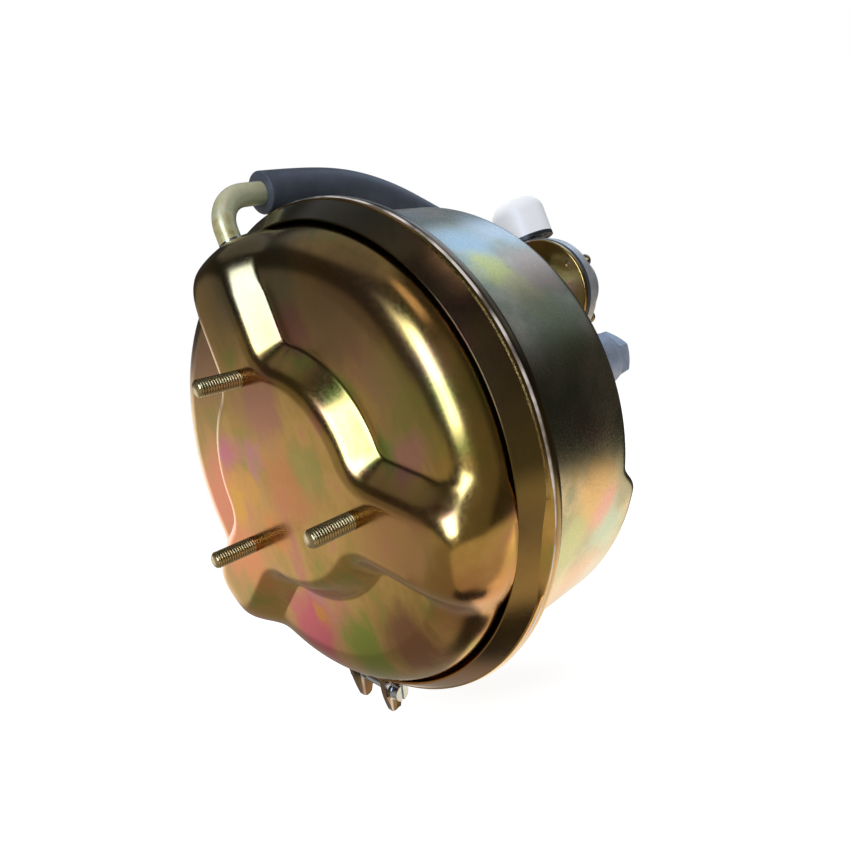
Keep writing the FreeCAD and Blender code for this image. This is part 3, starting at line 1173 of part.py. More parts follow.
def filter_cap():
    """Domed plastic cap over the filter."""
    z0 = FILTER_SEAT_Z + FILTER_BASE_T
    z1 = FILTER_TOP_Z
    r = FILTER_R
    w = FILTER_WALL
    dome = upright([(0, z0), (r, z0), (r, z1 - CAP_SLOPE, CAP_ROUND), (CAP_FLAT_R, z1, 2), (0, z1)],
                   FILTER_X, FILTER_Y)
    hollow = upright([(0, z0 - PAST), (r - w, z0 - PAST), (r - w, z1 - CAP_SLOPE - w, CAP_ROUND - w),
                      (0, z1 - w)], FILTER_X, FILTER_Y)
    return dome.cut(hollow)


def check_grommet():
    """Rubber grommet in the front face, round the check valve's neck."""
    c = check_spot()
    y0 = INNER_FACE_Y - GROMMET_LIP
    y1 = FRONT_Y + GROMMET_LIP
    hole = GROMMET_R - GROMMET_LIP - SMALL_GAP
    neck = CHECK_NECK_R + SMALL_GAP
    inner = INNER_FACE_Y - SMALL_GAP
    outer = FRONT_Y + SMALL_GAP
    return turned([(neck, y0), (GROMMET_R, y0, 1), (GROMMET_R, inner), (hole, inner), (hole, outer),
                   (GROMMET_R, outer), (GROMMET_R, y1, 1), (neck, y1)], c.x, c.z)


def check_body():
    """Non-return valve body: neck in the grommet, round chamber and hose nipple."""
    c = check_spot()
    y0 = CHECK_Y
    chamber = y0 + CHECK_CHAMBER_L
    tip = chamber + CHECK_NIPPLE_L
    neck = INNER_FACE_Y - GROMMET_LIP - CHECK_NECK_OUT
    body = turned([(0, neck), (CHECK_NECK_R, neck), (CHECK_NECK_R, y0), (CHECK_BODY_R, y0, 0.8),
                   (CHECK_BODY_R, chamber, 1.5), (CHECK_NIPPLE_R, chamber), (CHECK_NIPPLE_R, tip, 0.8),
                   (0, tip)], c.x, c.z)
    room = CHECK_BODY_R - CHECK_WALL - CHECK_RELIEF
    hollow = turned([(0, neck - PAST), (CHECK_BORE_R, neck - PAST), (CHECK_BORE_R, y0 + CHECK_WALL),
                     (room, y0 + CHECK_WALL), (room, chamber - CHECK_WALL),
                     (CHECK_BORE_R, chamber - CHECK_WALL),
                     (CHECK_BORE_R, tip + PAST), (0, tip + PAST)], c.x, c.z)
    return body.cut(hollow)


def check_disc():
    """Rubber disc on its seat on the canister's side; it opens towards the vacuum line."""
    c = check_spot()
    seat = CHECK_Y + CHECK_WALL + SMALL_GAP
    return ring(0, CHECK_BORE_R + CHECK_DISC_OVER, seat, seat + CHECK_DISC_T, c.x, c.z)


def check_spring():
    c = check_spot()
    disc = CHECK_Y + CHECK_WALL + SMALL_GAP + CHECK_DISC_T
    roof = CHECK_Y + CHECK_CHAMBER_L - CHECK_WALL
    return coil(CHECK_BORE_R + CHECK_SPRING_OUT, CHECK_SPRING_WIRE, disc + SMALL_GAP, roof - SMALL_GAP,
                SMALL_TURNS, c.x, c.z)


PIECES = [rear_cover, stud_plate, mounting_studs, elbow_pipe, vacuum_hose,
          clamp_band, clamp_screw, clamp_nut, front_shell,
          main_diaphragm, diaphragm_plate, diaphragm_retainer, rod_nut, push_rod, return_spring,
          inner_plate, cylinder_gasket, slave_cylinder, cylinder_bolts, cylinder_nuts,
          gland_circlip, rod_bearing, rod_seal, hydraulic_piston, piston_cup,
          end_plug, plug_washer, bleed_screw,
          valve_plate, plate_screws, valve_diaphragm, valve_lid, valve_screws, valve_piston, valve_cup,
          valve_hub, hub_clip, valve_spring, air_seat, air_poppet, poppet_spring,
          filter_base, air_filter, filter_cap,
          check_grommet, check_body, check_disc, check_spring]

os.makedirs("parts", exist_ok=True)
for piece in PIECES:
    shape = piece()
    print(piece.__name__, "valid" if shape.isValid() else "INVALID", len(shape.Solids), "solids")
    shape.exportStep("parts/" + piece.__name__ + ".step")
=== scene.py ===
import json
import math

import bpy
import numpy as np
from bpy.props import FloatProperty, FloatVectorProperty, PointerProperty
from mathutils import Matrix, Vector


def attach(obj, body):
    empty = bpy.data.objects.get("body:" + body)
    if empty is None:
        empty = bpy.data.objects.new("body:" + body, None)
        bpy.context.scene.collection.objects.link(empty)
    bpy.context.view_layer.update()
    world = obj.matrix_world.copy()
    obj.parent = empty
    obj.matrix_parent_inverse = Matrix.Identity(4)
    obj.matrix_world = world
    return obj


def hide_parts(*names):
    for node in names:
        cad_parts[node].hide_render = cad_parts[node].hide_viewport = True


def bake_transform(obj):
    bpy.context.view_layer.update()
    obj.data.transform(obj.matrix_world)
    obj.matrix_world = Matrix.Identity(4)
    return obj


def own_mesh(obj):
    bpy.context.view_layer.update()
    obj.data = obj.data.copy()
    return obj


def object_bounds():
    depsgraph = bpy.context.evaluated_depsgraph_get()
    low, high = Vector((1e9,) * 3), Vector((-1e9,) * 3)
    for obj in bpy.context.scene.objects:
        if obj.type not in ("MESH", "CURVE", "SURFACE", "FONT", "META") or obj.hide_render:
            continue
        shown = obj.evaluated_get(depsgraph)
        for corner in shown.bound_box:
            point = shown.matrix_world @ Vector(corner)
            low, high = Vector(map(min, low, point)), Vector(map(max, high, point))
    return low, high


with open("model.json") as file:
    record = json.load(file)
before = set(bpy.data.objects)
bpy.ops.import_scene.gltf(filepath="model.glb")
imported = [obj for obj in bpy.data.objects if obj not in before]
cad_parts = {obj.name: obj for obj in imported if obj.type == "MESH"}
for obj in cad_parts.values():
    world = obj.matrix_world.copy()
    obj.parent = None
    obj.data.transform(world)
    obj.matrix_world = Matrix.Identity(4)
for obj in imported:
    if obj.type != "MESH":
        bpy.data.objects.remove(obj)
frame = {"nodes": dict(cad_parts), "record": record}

bl_info = {
    "name": "Vacuum brake booster",
    "version": (1, 0, 0),
    "blender": (4, 5, 0),
    "location": "3D View > Sidebar > Booster",
    "description": "Dresses the vacuum brake booster in plated sheet metal, castings, rubber and plastic",
    "category": "Object",
}

# Frame: origin at the centre of the three-lobed mounting face, +Y forward to the cylinder, +Z up.
# Sizes are in millimetres, and MM turns them into Blender's metres.
MM = 0.001
CAD_BOX = [[round(c, 6) for c in corner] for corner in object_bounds()]

LOBE_ANGLES = (90.0, -30.0, 210.0)
LOBE_SPACING = 120.0
# Each flange's face lies this far from the clamp's plane
FLANGE_GAP = 1.6
# A small face of this radius closes the middle of a pressing
CAP_RADIUS = 0.4
# A highlight is painted along the band's crest at this distance from the mounting face
CREST_HIGHLIGHT_Y = 37.6

# Control points of the hose's centre line, as in its solid
HOSE_ROUTE = [(0, 46, 134.6), (0, 75, 136.6), (0, 103, 135.0), (0, 128, 127.5),
              (0.6, 149, 115.6), (2.5, 169, 101.5), (5.8, 187.5, 84.0)]


def size(name, default, what):
    """A length in millimetres, or an angle in degrees, that a user may change."""
    return FloatProperty(name=name, description=what, default=default, min=0.0, precision=2)


def hex_to_linear(code):
    """Linear colour of an sRGB hex code."""
    channels = [int(code[i:i + 2], 16) / 255 for i in (1, 3, 5)]
    return tuple(c / 12.92 if c <= 0.04045 else ((c + 0.055) / 1.055) ** 2.4 for c in channels)


def colour(name, code, what):
    """A colour that a user may change."""
    return FloatVectorProperty(name=name, description=what, default=hex_to_linear(code), subtype="COLOR",
                               size=3, min=0.0, max=1.0)


class CanisterSizes(bpy.types.PropertyGroup):
    """Pressed rear cover and front shell."""

    sheet: size("Sheet", 1.6, "Thickness of both pressings")
    cover_radius: size("Cover radius", 109.0, "Outside radius of the rear cover")
    pad_height: size("Pad height", 12.0, "How far the three-lobed pad stands proud of the ring face")
    slope_angle: size("Slope angle", 48.0, "Steepness of the pad's side in degrees")
    slope_top: size("Slope top radius", 7.5, "Rounding along the pad's upper edge")
    slope_foot: size("Slope foot radius", 4.0, "Rounding along the pad's foot")
    boss_radius: size("Boss radius", 53.5, "Round middle of the pad")
    lobe_half: size("Lobe half width", 19.5, "Half the width of a lobe")
    lobe_corner: size("Lobe corner", 14.0, "Inside corner between a lobe and the middle")
    shoulder_radius: size("Shoulder radius", 30.0, "Large rounding into the side wall")
    shoulder_proud: size("Shoulder start", 6.0, "The shoulder's circle closes this far behind the pad")
    shoulder_blend: size("Shoulder blend", 4.5, "Softness of the edge where a lobe meets the shoulder")
    ring_start: size("Ring rounding start", 87.0, "The ring face starts to turn down at this radius")
    ring_round: size("Ring rounding", 20.0, "Rounding of the ring face into the side wall")
    shell_radius: size("Shell radius", 110.0, "Outside radius of the front shell")
    front_y: size("Front face", 110.0, "Distance of the front face from the mounting face")
    front_corner: size("Front corner", 8.0, "Rounding of the shell's front edge")
    step_rise: size("Step", 11.0, "The lower front is pressed out by this much")
    step_low: size("Step start", 60.0, "The step ends this far below the axis")
    step_run: size("Step run", 13.0, "Height over which the step rises")
    flange_radius: size("Flange radius", 117.4, "Outside radius of both flared flanges")


class ClampSizes(bpy.types.PropertyGroup):
    """V-section clamp band."""

    plane_y: size("Clamp plane", 40.0, "Plane through the middle of the band")
    crest_radius: size("Crest radius", 119.2, "Outside radius of the band")
    thickness: size("Thickness", 1.2, "Sheet thickness of the band")
    crest_half: size("Crest half width", 2.3, "Half the width of the crest")
    flank_angle: size("Flank angle", 53.13, "Slope of the flanks against the radius, in degrees")
    rear_flank: size("Rear flank", 14.0, "Length of the rear flank")
    front_flank: size("Front flank", 12.3, "Length of the front flank")
    split: size("Split", 19.0, "Gap between the band's two ends")
    ear_out: size("Ear length", 19.5, "How far the ears stand out from the crest")
    ear_width: size("Ear width", 15.0, "Width of an ear at its root")
    ear_thickness: size("Ear thickness", 2.5, "Thickness of the folded ear")
    turn: size("Clamp turn", 21.0, "The split lies this far from straight down, in degrees")


class PipeSizes(bpy.types.PropertyGroup):
    """Studs, elbow pipe and hose."""

    stud_radius: size("Stud radius", 4.0, "Outside radius of the M8 thread")
    stud_pitch: size("Stud pitch", 1.25, "Pitch of the M8 thread")
    stud_length: size("Stud length", 22.0, "Length of a stud outside the cover")
    stud_circle: size("Stud circle", 97.6, "Diameter of the studs' circle")
    pipe_radius: size("Pipe radius", 5.55, "Outside radius of the elbow pipe")
    pipe_bend: size("Pipe bend", 17.0, "Radius of the pipe's bend")
    pipe_y: size("Pipe place", 20.0, "Distance of the pipe's foot from the mounting face")
    pipe_foot: size("Pipe foot", 104.5, "Height of the pipe's lower end")
    pipe_corner: size("Pipe corner", 132.8, "Height at which the pipe's two legs would meet")
    pipe_in_hose: size("Pipe in hose", 15.0, "Length of pipe inside the hose")
    hose_radius: size("Hose radius", 10.25, "Outside radius of the hose")
    hose_bore: size("Hose bore", 5.65, "Inside radius of the hose")


class FinishColours(bpy.types.PropertyGroup):
    """Colours of the finishes."""

    gold: colour("Gold", "#CCA658", "Main colour of the yellow passivated zinc")
    rose: colour("Rose", "#D2906C", "Thicker film, rose")
    green: colour("Green", "#A09A3C", "Thinnest film, green")
    shell: colour("Shell", "#B9B79E", "Greyed film on the front shell")
    band: colour("Band", "#604A28", "Dark gold of the clamp band")
    stud: colour("Stud", "#C6B482", "Yellow passivated threads")
    bright: colour("Bright zinc", "#C8D2DA", "Blue-white zinc of the small screws")
    steel: colour("Steel", "#8C8A86", "Plain steel of the inner pieces")
    cast: colour("Cast iron", "#B2BED2", "Grey casting of the cylinder")
    aluminium: colour("Cast aluminium", "#D8DADC", "Sandblasted casting of the valve's lid")
    rubber: colour("Rubber", "#454B57", "Hose and seals")
    nylon: colour("White nylon", "#FAFBFF", "Filter cap")


# Mesh code


def grid_faces(rows, columns, close_rows=False, close_columns=False):
    """Quads of a grid of rows by columns, as index tuples."""
    last_row = rows if close_rows else rows - 1
    last_column = columns if close_columns else columns - 1
    faces = []
    for i in range(last_row):
        a = i * columns
        b = (i + 1) % rows * columns
        for j in range(last_column):
            k = (j + 1) % columns
            faces.append((a + j, a + k, b + k, b + j))
    return faces


def fillet(corner, before, after, radius, steps):
    """Points of the arc that rounds a corner between two unit directions."""
    half = math.acos(max(-1.0, min(1.0, float(before @ after)))) / 2
    middle = (before + after) / np.linalg.norm(before + after)
    centre = corner + middle * radius / math.sin(half)
    first = corner + before * radius / math.tan(half) - centre
    last = corner + after * radius / math.tan(half) - centre
    sweep = math.pi - 2 * half
    points = []
    for k in range(steps + 1):
        share = k / steps
        reach = math.sin((1 - share) * sweep) * first + math.sin(share * sweep) * last
        points.append(centre + reach / math.sin(sweep))
    return points


def rounded(corners, steps):
    """Closed outline from (u, v, radius) corners, each as a short arc."""
    places = [np.array(corner[:2], float) for corner in corners]
    out = []
    for i, here in enumerate(places):
        before = places[i - 1] - here
        after = places[(i + 1) % len(places)] - here
        out += fillet(here, before / np.linalg.norm(before), after / np.linalg.norm(after),
                      corners[i][2], steps)
    return np.array(out)


def placed(name, data):
    """A new object in the scene for a mesh, lamp or camera."""
    thing = bpy.data.objects.new(name, data)
    bpy.context.scene.collection.objects.link(thing)
    return thing


def new_piece(name, points, faces, slot, replaces=None, material=None, sharp=40.0):
    """A mesh object from points in millimetres, riding on the housing, in its slot's finish.
    Edges bent by more than sharp degrees stay crisp."""
    mesh = bpy.data.meshes.new(name)
    mesh.from_pydata((np.asarray(points, float) * MM).tolist(), [], faces)
    mesh.validate()
    mesh.shade_smooth()
    mesh.set_sharp_from_angle(angle=math.radians(sharp))
    mesh.materials.append(material or finish(slot))
    piece = placed(name, mesh)
    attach(piece, "housing")
    if replaces:
        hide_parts(replaces)
    return piece


def joined(parts):
    """Several (points, faces) meshes as one."""
    points = []
    faces = []
    start = 0
    for part_points, part_faces in parts:
        points.append(np.asarray(part_points, float).reshape(-1, 3))
        faces += [tuple(start + k for k in face) for face in part_faces]
        start += len(points[-1])
    return np.concatenate(points), faces


def sheet_skin(outer, thickness):
    """Closed pressing from its outside, a polar grid of rings; it is given its thickness inward."""
    rings, sectors = outer.shape[:2]
    along = np.gradient(outer, axis=0)
    across = np.roll(outer, -1, axis=1) - np.roll(outer, 1, axis=1)
    normal = np.cross(across, along)
    normal /= np.maximum(np.linalg.norm(normal, axis=2, keepdims=True), 1e-9)
    inner = outer - normal * thickness
    count = rings * sectors
    skin = grid_faces(rings, sectors, close_columns=True)
    faces = [face[::-1] for face in skin] + [tuple(count + k for k in face) for face in skin]
    edge = (rings - 1) * sectors
    for j in range(sectors):
        k = (j + 1) % sectors
        faces.append((edge + j, edge + k, count + edge + k, count + edge + j))
    faces.append(tuple(range(sectors)))
    faces.append(tuple(count + j for j in reversed(range(sectors))))
    return np.concatenate([outer.reshape(-1, 3), inner.reshape(-1, 3)]), faces


def turn_angles(sectors):
    """Angles of the points of one full turn."""
    return np.linspace(0, 2 * math.pi, sectors, endpoint=False)


def around(radius, y, angles):
    """Points round the Y axis; radius and y may change from point to point."""
    return np.stack([radius * np.cos(angles), y + 0.0 * angles, radius * np.sin(angles)], axis=-1)


# Directions and phases of the long waves of a pressed sheet
WAVES = ((1.0, 0.35, 0.3), (-0.55, 1.1, 1.7), (1.45, -0.9, 4.1), (0.2, 1.9, 2.6))


def wave(x, z, scale, amount):
    """Slight unevenness of a pressed sheet: a few long waves added together."""
    total = np.zeros_like(x)
    for k, (a, b, phase) in enumerate(WAVES):
        total += np.sin((a * x + b * z) / scale + phase) / (1.0 + 0.5 * k)
    return total * amount


def soft_max(a, b, width):
    """The larger of two heights, with the crease between them rounded over this width."""
    share = np.clip(0.5 + 0.5 * (a - b) / width, 0, 1)
    return b + (a - b) * share + width * share * (1 - share)


def lobe_distance(x, z, sizes):
    """Distance outside the pad's outline, taken in the third of the circle that holds each point."""
    half = LOBE_SPACING / 2
    off = (np.degrees(np.arctan2(z, x)) - LOBE_ANGLES[0] + half) % LOBE_SPACING - half
    radius = np.hypot(x, z)
    along = radius * np.cos(np.radians(off))
    across = np.abs(radius * np.sin(np.radians(off)))
    reach = sizes.boss_radius + sizes.lobe_corner
    corner_v = sizes.lobe_half + sizes.lobe_corner
    corner_u = math.sqrt(reach ** 2 - corner_v ** 2)
    in_corner = sizes.lobe_corner - np.hypot(along - corner_u, across - corner_v)
    on_lobe = np.where(along > corner_u, across - sizes.lobe_half, in_corner)
    return np.where(across * corner_u > along * corner_v, radius - sizes.boss_radius, on_lobe)


def slope_drop(distance, sizes):
    """Height lost across the pad's side: an arc, a straight slope and an arc."""
    # This share of the side's width lies inside the outline
    inside = 0.52
    angle = math.radians(sizes.slope_angle)
    top = sizes.slope_top
    foot = sizes.slope_foot
    straight = (sizes.pad_height - (top + foot) * (1 - math.cos(angle))) / math.sin(angle)
    first = top * math.sin(angle)
    second = first + straight * math.cos(angle)
    width = second + foot * math.sin(angle)
    t = distance + width * inside
    on_top = top - np.sqrt(np.maximum(top ** 2 - np.clip(t, 0, first) ** 2, 0))
    on_slope = top * (1 - math.cos(angle)) + (t - first) * math.tan(angle)
    left = np.clip(width - t, 0, width - second)
    on_foot = sizes.pad_height - (foot - np.sqrt(np.maximum(foot ** 2 - left ** 2, 0)))
    return np.where(t < first, on_top, np.where(t < second, on_slope, on_foot))


def route_frames(path):
    """The direction and two side directions at each point of a path, turned as little as possible."""
    ahead = np.gradient(path, axis=0)
    ahead /= np.linalg.norm(ahead, axis=1, keepdims=True)
    side = np.cross(ahead[0], [1.0, 0.0, 0.0])
    sides = []
    for direction in ahead:
        side = side - direction * (side @ direction)
        side = side / np.linalg.norm(side)
        sides.append(side)
    sides = np.array(sides)
    return ahead, sides, np.cross(ahead, sides)


def tube(path, section, segments):
    """Hollow tube; its closed section is a list of (point of the path, radius, shift along the path)."""
    ahead, first, second = route_frames(path)
    angles = turn_angles(segments)
    rows = []
    for index, radius, shift in section:
        centre = path[index] + ahead[index] * shift
        ring = (np.cos(angles)[:, None] * first[index] + np.sin(angles)[:, None] * second[index]) * radius
        rows.append(centre + ring)
    faces = grid_faces(len(rows), segments, close_rows=True, close_columns=True)
    return np.array(rows).reshape(-1, 3), [face[::-1] for face in faces]


# Materials


def add(tree, kind, values=None, links=None, stops=None, **settings):
    """One node with its settings, its sockets' values, its links and, on a ramp, its stops."""
    node = tree.nodes.new(kind)
    for key, value in settings.items():
        setattr(node, key, value)
    for key, value in (values or {}).items():
        node.inputs[key].default_value = value
    for key, source in (links or {}).items():
        output = source if isinstance(source, bpy.types.NodeSocket) else source.outputs[0]
        tree.links.new(output, node.inputs[key])
    if stops:
        ramp = node.color_ramp.elements
        while len(ramp) < len(stops):
            ramp.new(0.5)
        for element, (place, tone) in zip(ramp, stops):
            element.position = place
            element.color = (*(hex_to_linear(tone) if isinstance(tone, str) else tone), 1.0)
    return node


def empty_tree(owner):
    """The cleared node tree of a material or world."""
    owner.use_nodes = True
    owner.node_tree.nodes.clear()
    return owner.node_tree


def new_material(name):
    """A material with its tree, its shader and its coordinates in metres on the object."""
    material = bpy.data.materials.new(name)
    tree = empty_tree(material)
    shader = add(tree, "ShaderNodeBsdfPrincipled")
    add(tree, "ShaderNodeOutputMaterial", links={"Surface": shader})
    place = add(tree, "ShaderNodeTexCoord").outputs["Object"]
    return material, tree, shader, place


def texture_surface(tree, shader, grain, spread, rough, strength, depth):
    """Roughness within a range and a relief of this depth in millimetres, both from one fine noise."""
    level = add(tree, "ShaderNodeMapRange", {"From Min": spread[0], "From Max": spread[1], "To Min": rough[0],
                                             "To Max": rough[1]}, {"Value": grain.outputs[0]})
    tree.links.new(level.outputs[0], shader.inputs["Roughness"])
    relief = add(tree, "ShaderNodeBump", {"Strength": strength, "Distance": depth * MM},
                 {"Height": grain.outputs[0]})
    tree.links.new(relief.outputs[0], shader.inputs["Normal"])


def per_mm(length):
    """Scale of a pattern whose grain has this length in millimetres."""
    return 1.0 / (length * MM)


def shade(base, factor):
    """A colour made lighter or darker."""
    return tuple(min(1.0, c * factor) for c in base)


def passivated_zinc(name, stops, roughness, patch, streak, contrast, stains_and_painted_light=(), wander=30.0, metal=1.0):
    """Zinc plating dipped in chromate: a satin metal under a thin film whose thickness sets its hue.
    The hue drifts through its stops in clouds, patch millimetres across, and in finer runs, drawn out
    along Z where streak is small. Each stain (spot, reach, colour, amount) tints one place, with an
    edge that the runs move by up to half of wander; on the shell and the band these patches also paint shade
    and reflection. A fine orange peel lies over it all."""
    material, tree, shader, place = new_material(name)
    clouds = add(tree, "ShaderNodeTexNoise", {"Scale": per_mm(patch), "Detail": 3.0, "Roughness": 0.55,
                                              "Distortion": 0.6}, {"Vector": place})
    squeeze = add(tree, "ShaderNodeMapping", {"Scale": (1.0, 0.7, streak)}, {"Vector": place})
    runs = add(tree, "ShaderNodeTexNoise", {"Scale": per_mm(patch * 0.35), "Detail": 4.0, "Roughness": 0.6,
                                            "Distortion": 0.3}, {"Vector": squeeze})
    cloud_share, run_share = 0.62, 0.38
    film = add(tree, "ShaderNodeMath", {1: cloud_share * contrast, 2: 0.5 - 0.5 * contrast}, {0: clouds},
               operation="MULTIPLY_ADD")
    film = add(tree, "ShaderNodeMath", {1: run_share * contrast}, {0: runs, 2: film},
               operation="MULTIPLY_ADD")
    hue = add(tree, "ShaderNodeValToRGB", links={"Fac": film}, stops=stops).outputs["Color"]
    sway = add(tree, "ShaderNodeVectorMath", {1: (wander * MM,) * 3, 2: (-0.5 * wander * MM,) * 3},
               {0: runs.outputs[1]}, operation="MULTIPLY_ADD")
    drift = add(tree, "ShaderNodeVectorMath", links={0: place, 1: sway}, operation="ADD")
    for spot, reach, code, amount in stains_and_painted_light:
        away = add(tree, "ShaderNodeVectorMath", {1: tuple(c * MM for c in spot)}, {0: drift},
                   operation="DISTANCE")
        near = add(tree, "ShaderNodeMapRange", {"From Min": reach * MM, "From Max": reach * 0.3 * MM,
                                                "To Min": 0.0, "To Max": amount},
                   {"Value": away.outputs["Value"]}, interpolation_type="SMOOTHSTEP")
        hue = add(tree, "ShaderNodeMix", {7: (*hex_to_linear(code), 1.0)}, {0: near, 6: hue},
                  data_type="RGBA").outputs[2]
    tree.links.new(hue, shader.inputs["Base Color"])
    speck = add(tree, "ShaderNodeTexNoise", {"Scale": per_mm(1.1), "Detail": 3.0, "Roughness": 0.7},
                {"Vector": place})
    texture_surface(tree, shader, speck, (0.35, 0.7), (roughness - 0.04, roughness + 0.08), 0.12, 0.02)
    shader.inputs["Metallic"].default_value = metal
    shader.inputs["Coat Weight"].default_value = 0.6
    shader.inputs["Coat Roughness"].default_value = 0.22
    return material


def zinc_on_cover(colours):
    """Yellow chromate on the deep-drawn cover: tan and gold with rose, mauve and green clouds."""
    stops = [(0.24, "#8E9430"), (0.36, colours.green), (0.46, "#C09A4A"),
             (0.54, colours.gold), (0.64, colours.rose), (0.76, "#C48A94")]
    stains_and_painted_light = [
        ((-64, 0, 0), 46, "#F09070", 0.9), ((-52, 0, -30), 26, "#F29A5C", 0.8),
        ((-40, 0, -2), 17, "#ECB436", 0.9), ((-30, 0, 22), 13, "#D87C98", 0.9),
        ((-24, 0, 2), 12, "#E0A848", 0.8), ((-18, 0, -20), 18, "#E8964A", 0.8),
        ((-12, 0, 14), 12, "#CC8A94", 0.8), ((8, 0, -2), 26, "#D28A54", 0.8),
        ((8, 0, 34), 24, "#B87F68", 0.9), ((-34, 12, -76), 28, "#D85C74", 0.95),
        ((2, 12, -84), 22, "#8A9A20", 1.0), ((-22, 12, -70), 9, "#D89030", 0.9),
        ((34, 12, -84), 24, "#94603C", 0.9), ((80, 20, -66), 34, "#B07844", 0.8),
        ((62, 0, -34), 30, "#C09052", 0.8), ((26, 0, 2), 17, "#A8A052", 0.8),
        ((26, 12, 86), 42, "#7C7250", 0.9), ((64, 12, 52), 38, "#96744C", 0.9),
        ((34, 12, 58), 17, "#96604E", 0.9), ((34, 12, 40), 11, "#6E9A28", 0.95),
        ((50, 12, 26), 12, "#96A03C", 0.8), ((84, 18, 12), 30, "#949044", 0.8),
        ((64, 12, -4), 13, "#7A9A38", 0.85), ((78, 14, -10), 15, "#BE8478", 0.8),
        ((-46, 0, 68), 34, "#BE906A", 0.9), ((-44, 0, 92), 20, "#C8A850", 0.7)]
    return passivated_zinc("yellow_chromate_pressing", stops, 0.18, 40.0, 0.45, 1.1, stains_and_painted_light)


def zinc_on_shell(colours):
    """The same bath on the shell came out greyer: olive-grey with cool, rose and gold patches. The patches
    also paint reflection and shade: pale at the top and the bottom, darker olive round the middle.
    """
    stops = [(0.24, "#86A878"), (0.36, colours.shell), (0.46, "#9A9C80"),
             (0.55, "#C9BFA0"), (0.64, "#C49A8C"), (0.76, "#9CC0B0")]
    # Film hues; the pale patches at the top and the bottom are partly painted reflection, and the dark olive
    # ones round the middle are painted shade
    stains_and_painted_light = [
        ((60, 62, 92), 24, "#B2C0CC", 0.8), ((88, 68, 66), 24, "#B4C8D2", 0.85),
        ((98, 68, 50), 20, "#DCD272", 0.9), ((104, 74, 36), 16, "#D2BC88", 0.8),
        ((80, 98, 76), 26, "#D6DCE4", 0.7), ((100, 92, 48), 20, "#CCA894", 0.8),
        ((112, 84, 18), 26, "#96986C", 0.8), ((108, 62, -16), 34, "#7C8068", 0.8),
        ((98, 80, -48), 26, "#DCB474", 0.8), ((88, 62, -66), 20, "#B0C08C", 0.8),
        ((82, 96, -72), 22, "#A8CCC4", 0.8), ((92, 90, -60), 16, "#D8A0A0", 0.8),
        ((66, 84, -88), 24, "#D4A88C", 0.8), ((58, 110, -94), 30, "#DCD8D8", 0.6)]
    return passivated_zinc("grey_chromate_pressing", stops, 0.27, 56.0, 0.9, 1.0, stains_and_painted_light)


def zinc_on_band(colours):
    """Rolled strip with a glossier, darker film: olive gold with brown and green lines along it. Its patches
    also paint shade and reflection: near black at the upper right, gold low down.
    """
    stops = [(0.24, "#3C4C1C"), (0.4, colours.band), (0.52, "#6E5A30"),
             (0.64, "#6E4630"), (0.8, "#46601E")]
    # Film hues; the near-black patch at the upper right is painted shade, and the gold ones low down are
    # painted reflection
    stains_and_painted_light = [
        ((20, 40, -117), 66, "#BC8444", 0.9), ((86, 40, -82), 50, "#B08C48", 0.9),
        ((116, 40, -26), 34, "#8E7636", 0.8), ((-10, 40, 118), 70, "#6A7C2C", 0.8),
        ((70, 40, 96), 50, "#343418", 0.8)]
    material = passivated_zinc("yellow_chromate_strip", stops, 0.16, 30.0, 1.0, 1.2, stains_and_painted_light, 16.0)
    # Along the crest a highlight is painted, in patches, as a pale and less metallic stripe: all of it
    # within the first distance of the line, in millimetres, and none beyond the second
    highlight_half, fade_half = 0.3, 1.25
    tree = material.node_tree
    shader = next(node for node in tree.nodes if node.type == "BSDF_PRINCIPLED")
    place = add(tree, "ShaderNodeTexCoord").outputs["Object"]
    along = add(tree, "ShaderNodeSeparateXYZ", links={"Vector": place}).outputs["Y"]
    off = add(tree, "ShaderNodeMath", {1: CREST_HIGHLIGHT_Y * MM}, {0: along}, operation="SUBTRACT")
    off = add(tree, "ShaderNodeMath", links={0: off}, operation="ABSOLUTE")
    edge = add(tree, "ShaderNodeMapRange", {"From Min": fade_half * MM, "From Max": highlight_half * MM},
               {"Value": off}, interpolation_type="SMOOTHSTEP")
    highlight_breaks = add(tree, "ShaderNodeTexNoise", {"Scale": per_mm(14.0), "Detail": 3.0}, {"Vector": place})
    highlight_breaks = add(tree, "ShaderNodeMapRange", {"From Min": 0.34, "From Max": 0.54, "To Min": 0.35, "To Max": 1.0},
               {"Value": highlight_breaks})
    highlight_mask = add(tree, "ShaderNodeMath", links={0: edge, 1: highlight_breaks}, operation="MULTIPLY")
    film = shader.inputs["Base Color"].links[0].from_socket
    # Painted highlight: the pale colour mixed in along the crest
    pale = add(tree, "ShaderNodeMix", {7: (*hex_to_linear("#EDE2DA"), 1.0)}, {0: highlight_mask, 6: film},
               data_type="RGBA").outputs[2]
    tree.links.new(pale, shader.inputs["Base Color"])
    # Painted highlight: the crest loses its metal, so that the room's diffuse light shows on it
    highlight_metallic = add(tree, "ShaderNodeMapRange", {"To Min": 1.0, "To Max": 0.2}, {"Value": highlight_mask})
    tree.links.new(highlight_metallic.outputs[0], shader.inputs["Metallic"])
    return material


def zinc_on_pipe():
    """Bent tube, brazed and then plated: pale yellow-green with scuffed brown patches. It is paler and less
    metallic than the cover's zinc, which paints light onto it.
    """
    stops = [(0.25, "#A08A58"), (0.38, "#D8CE94"), (0.55, "#E6E4C0"),
             (0.7, "#D2D896"), (0.82, "#B49A68")]
    # Painted light: pale stops and half metal make the pipe brighter than the same zinc on the cover
    return passivated_zinc("yellow_chromate_pipe", stops, 0.4, 14.0, 1.0, 1.3, metal=0.55)


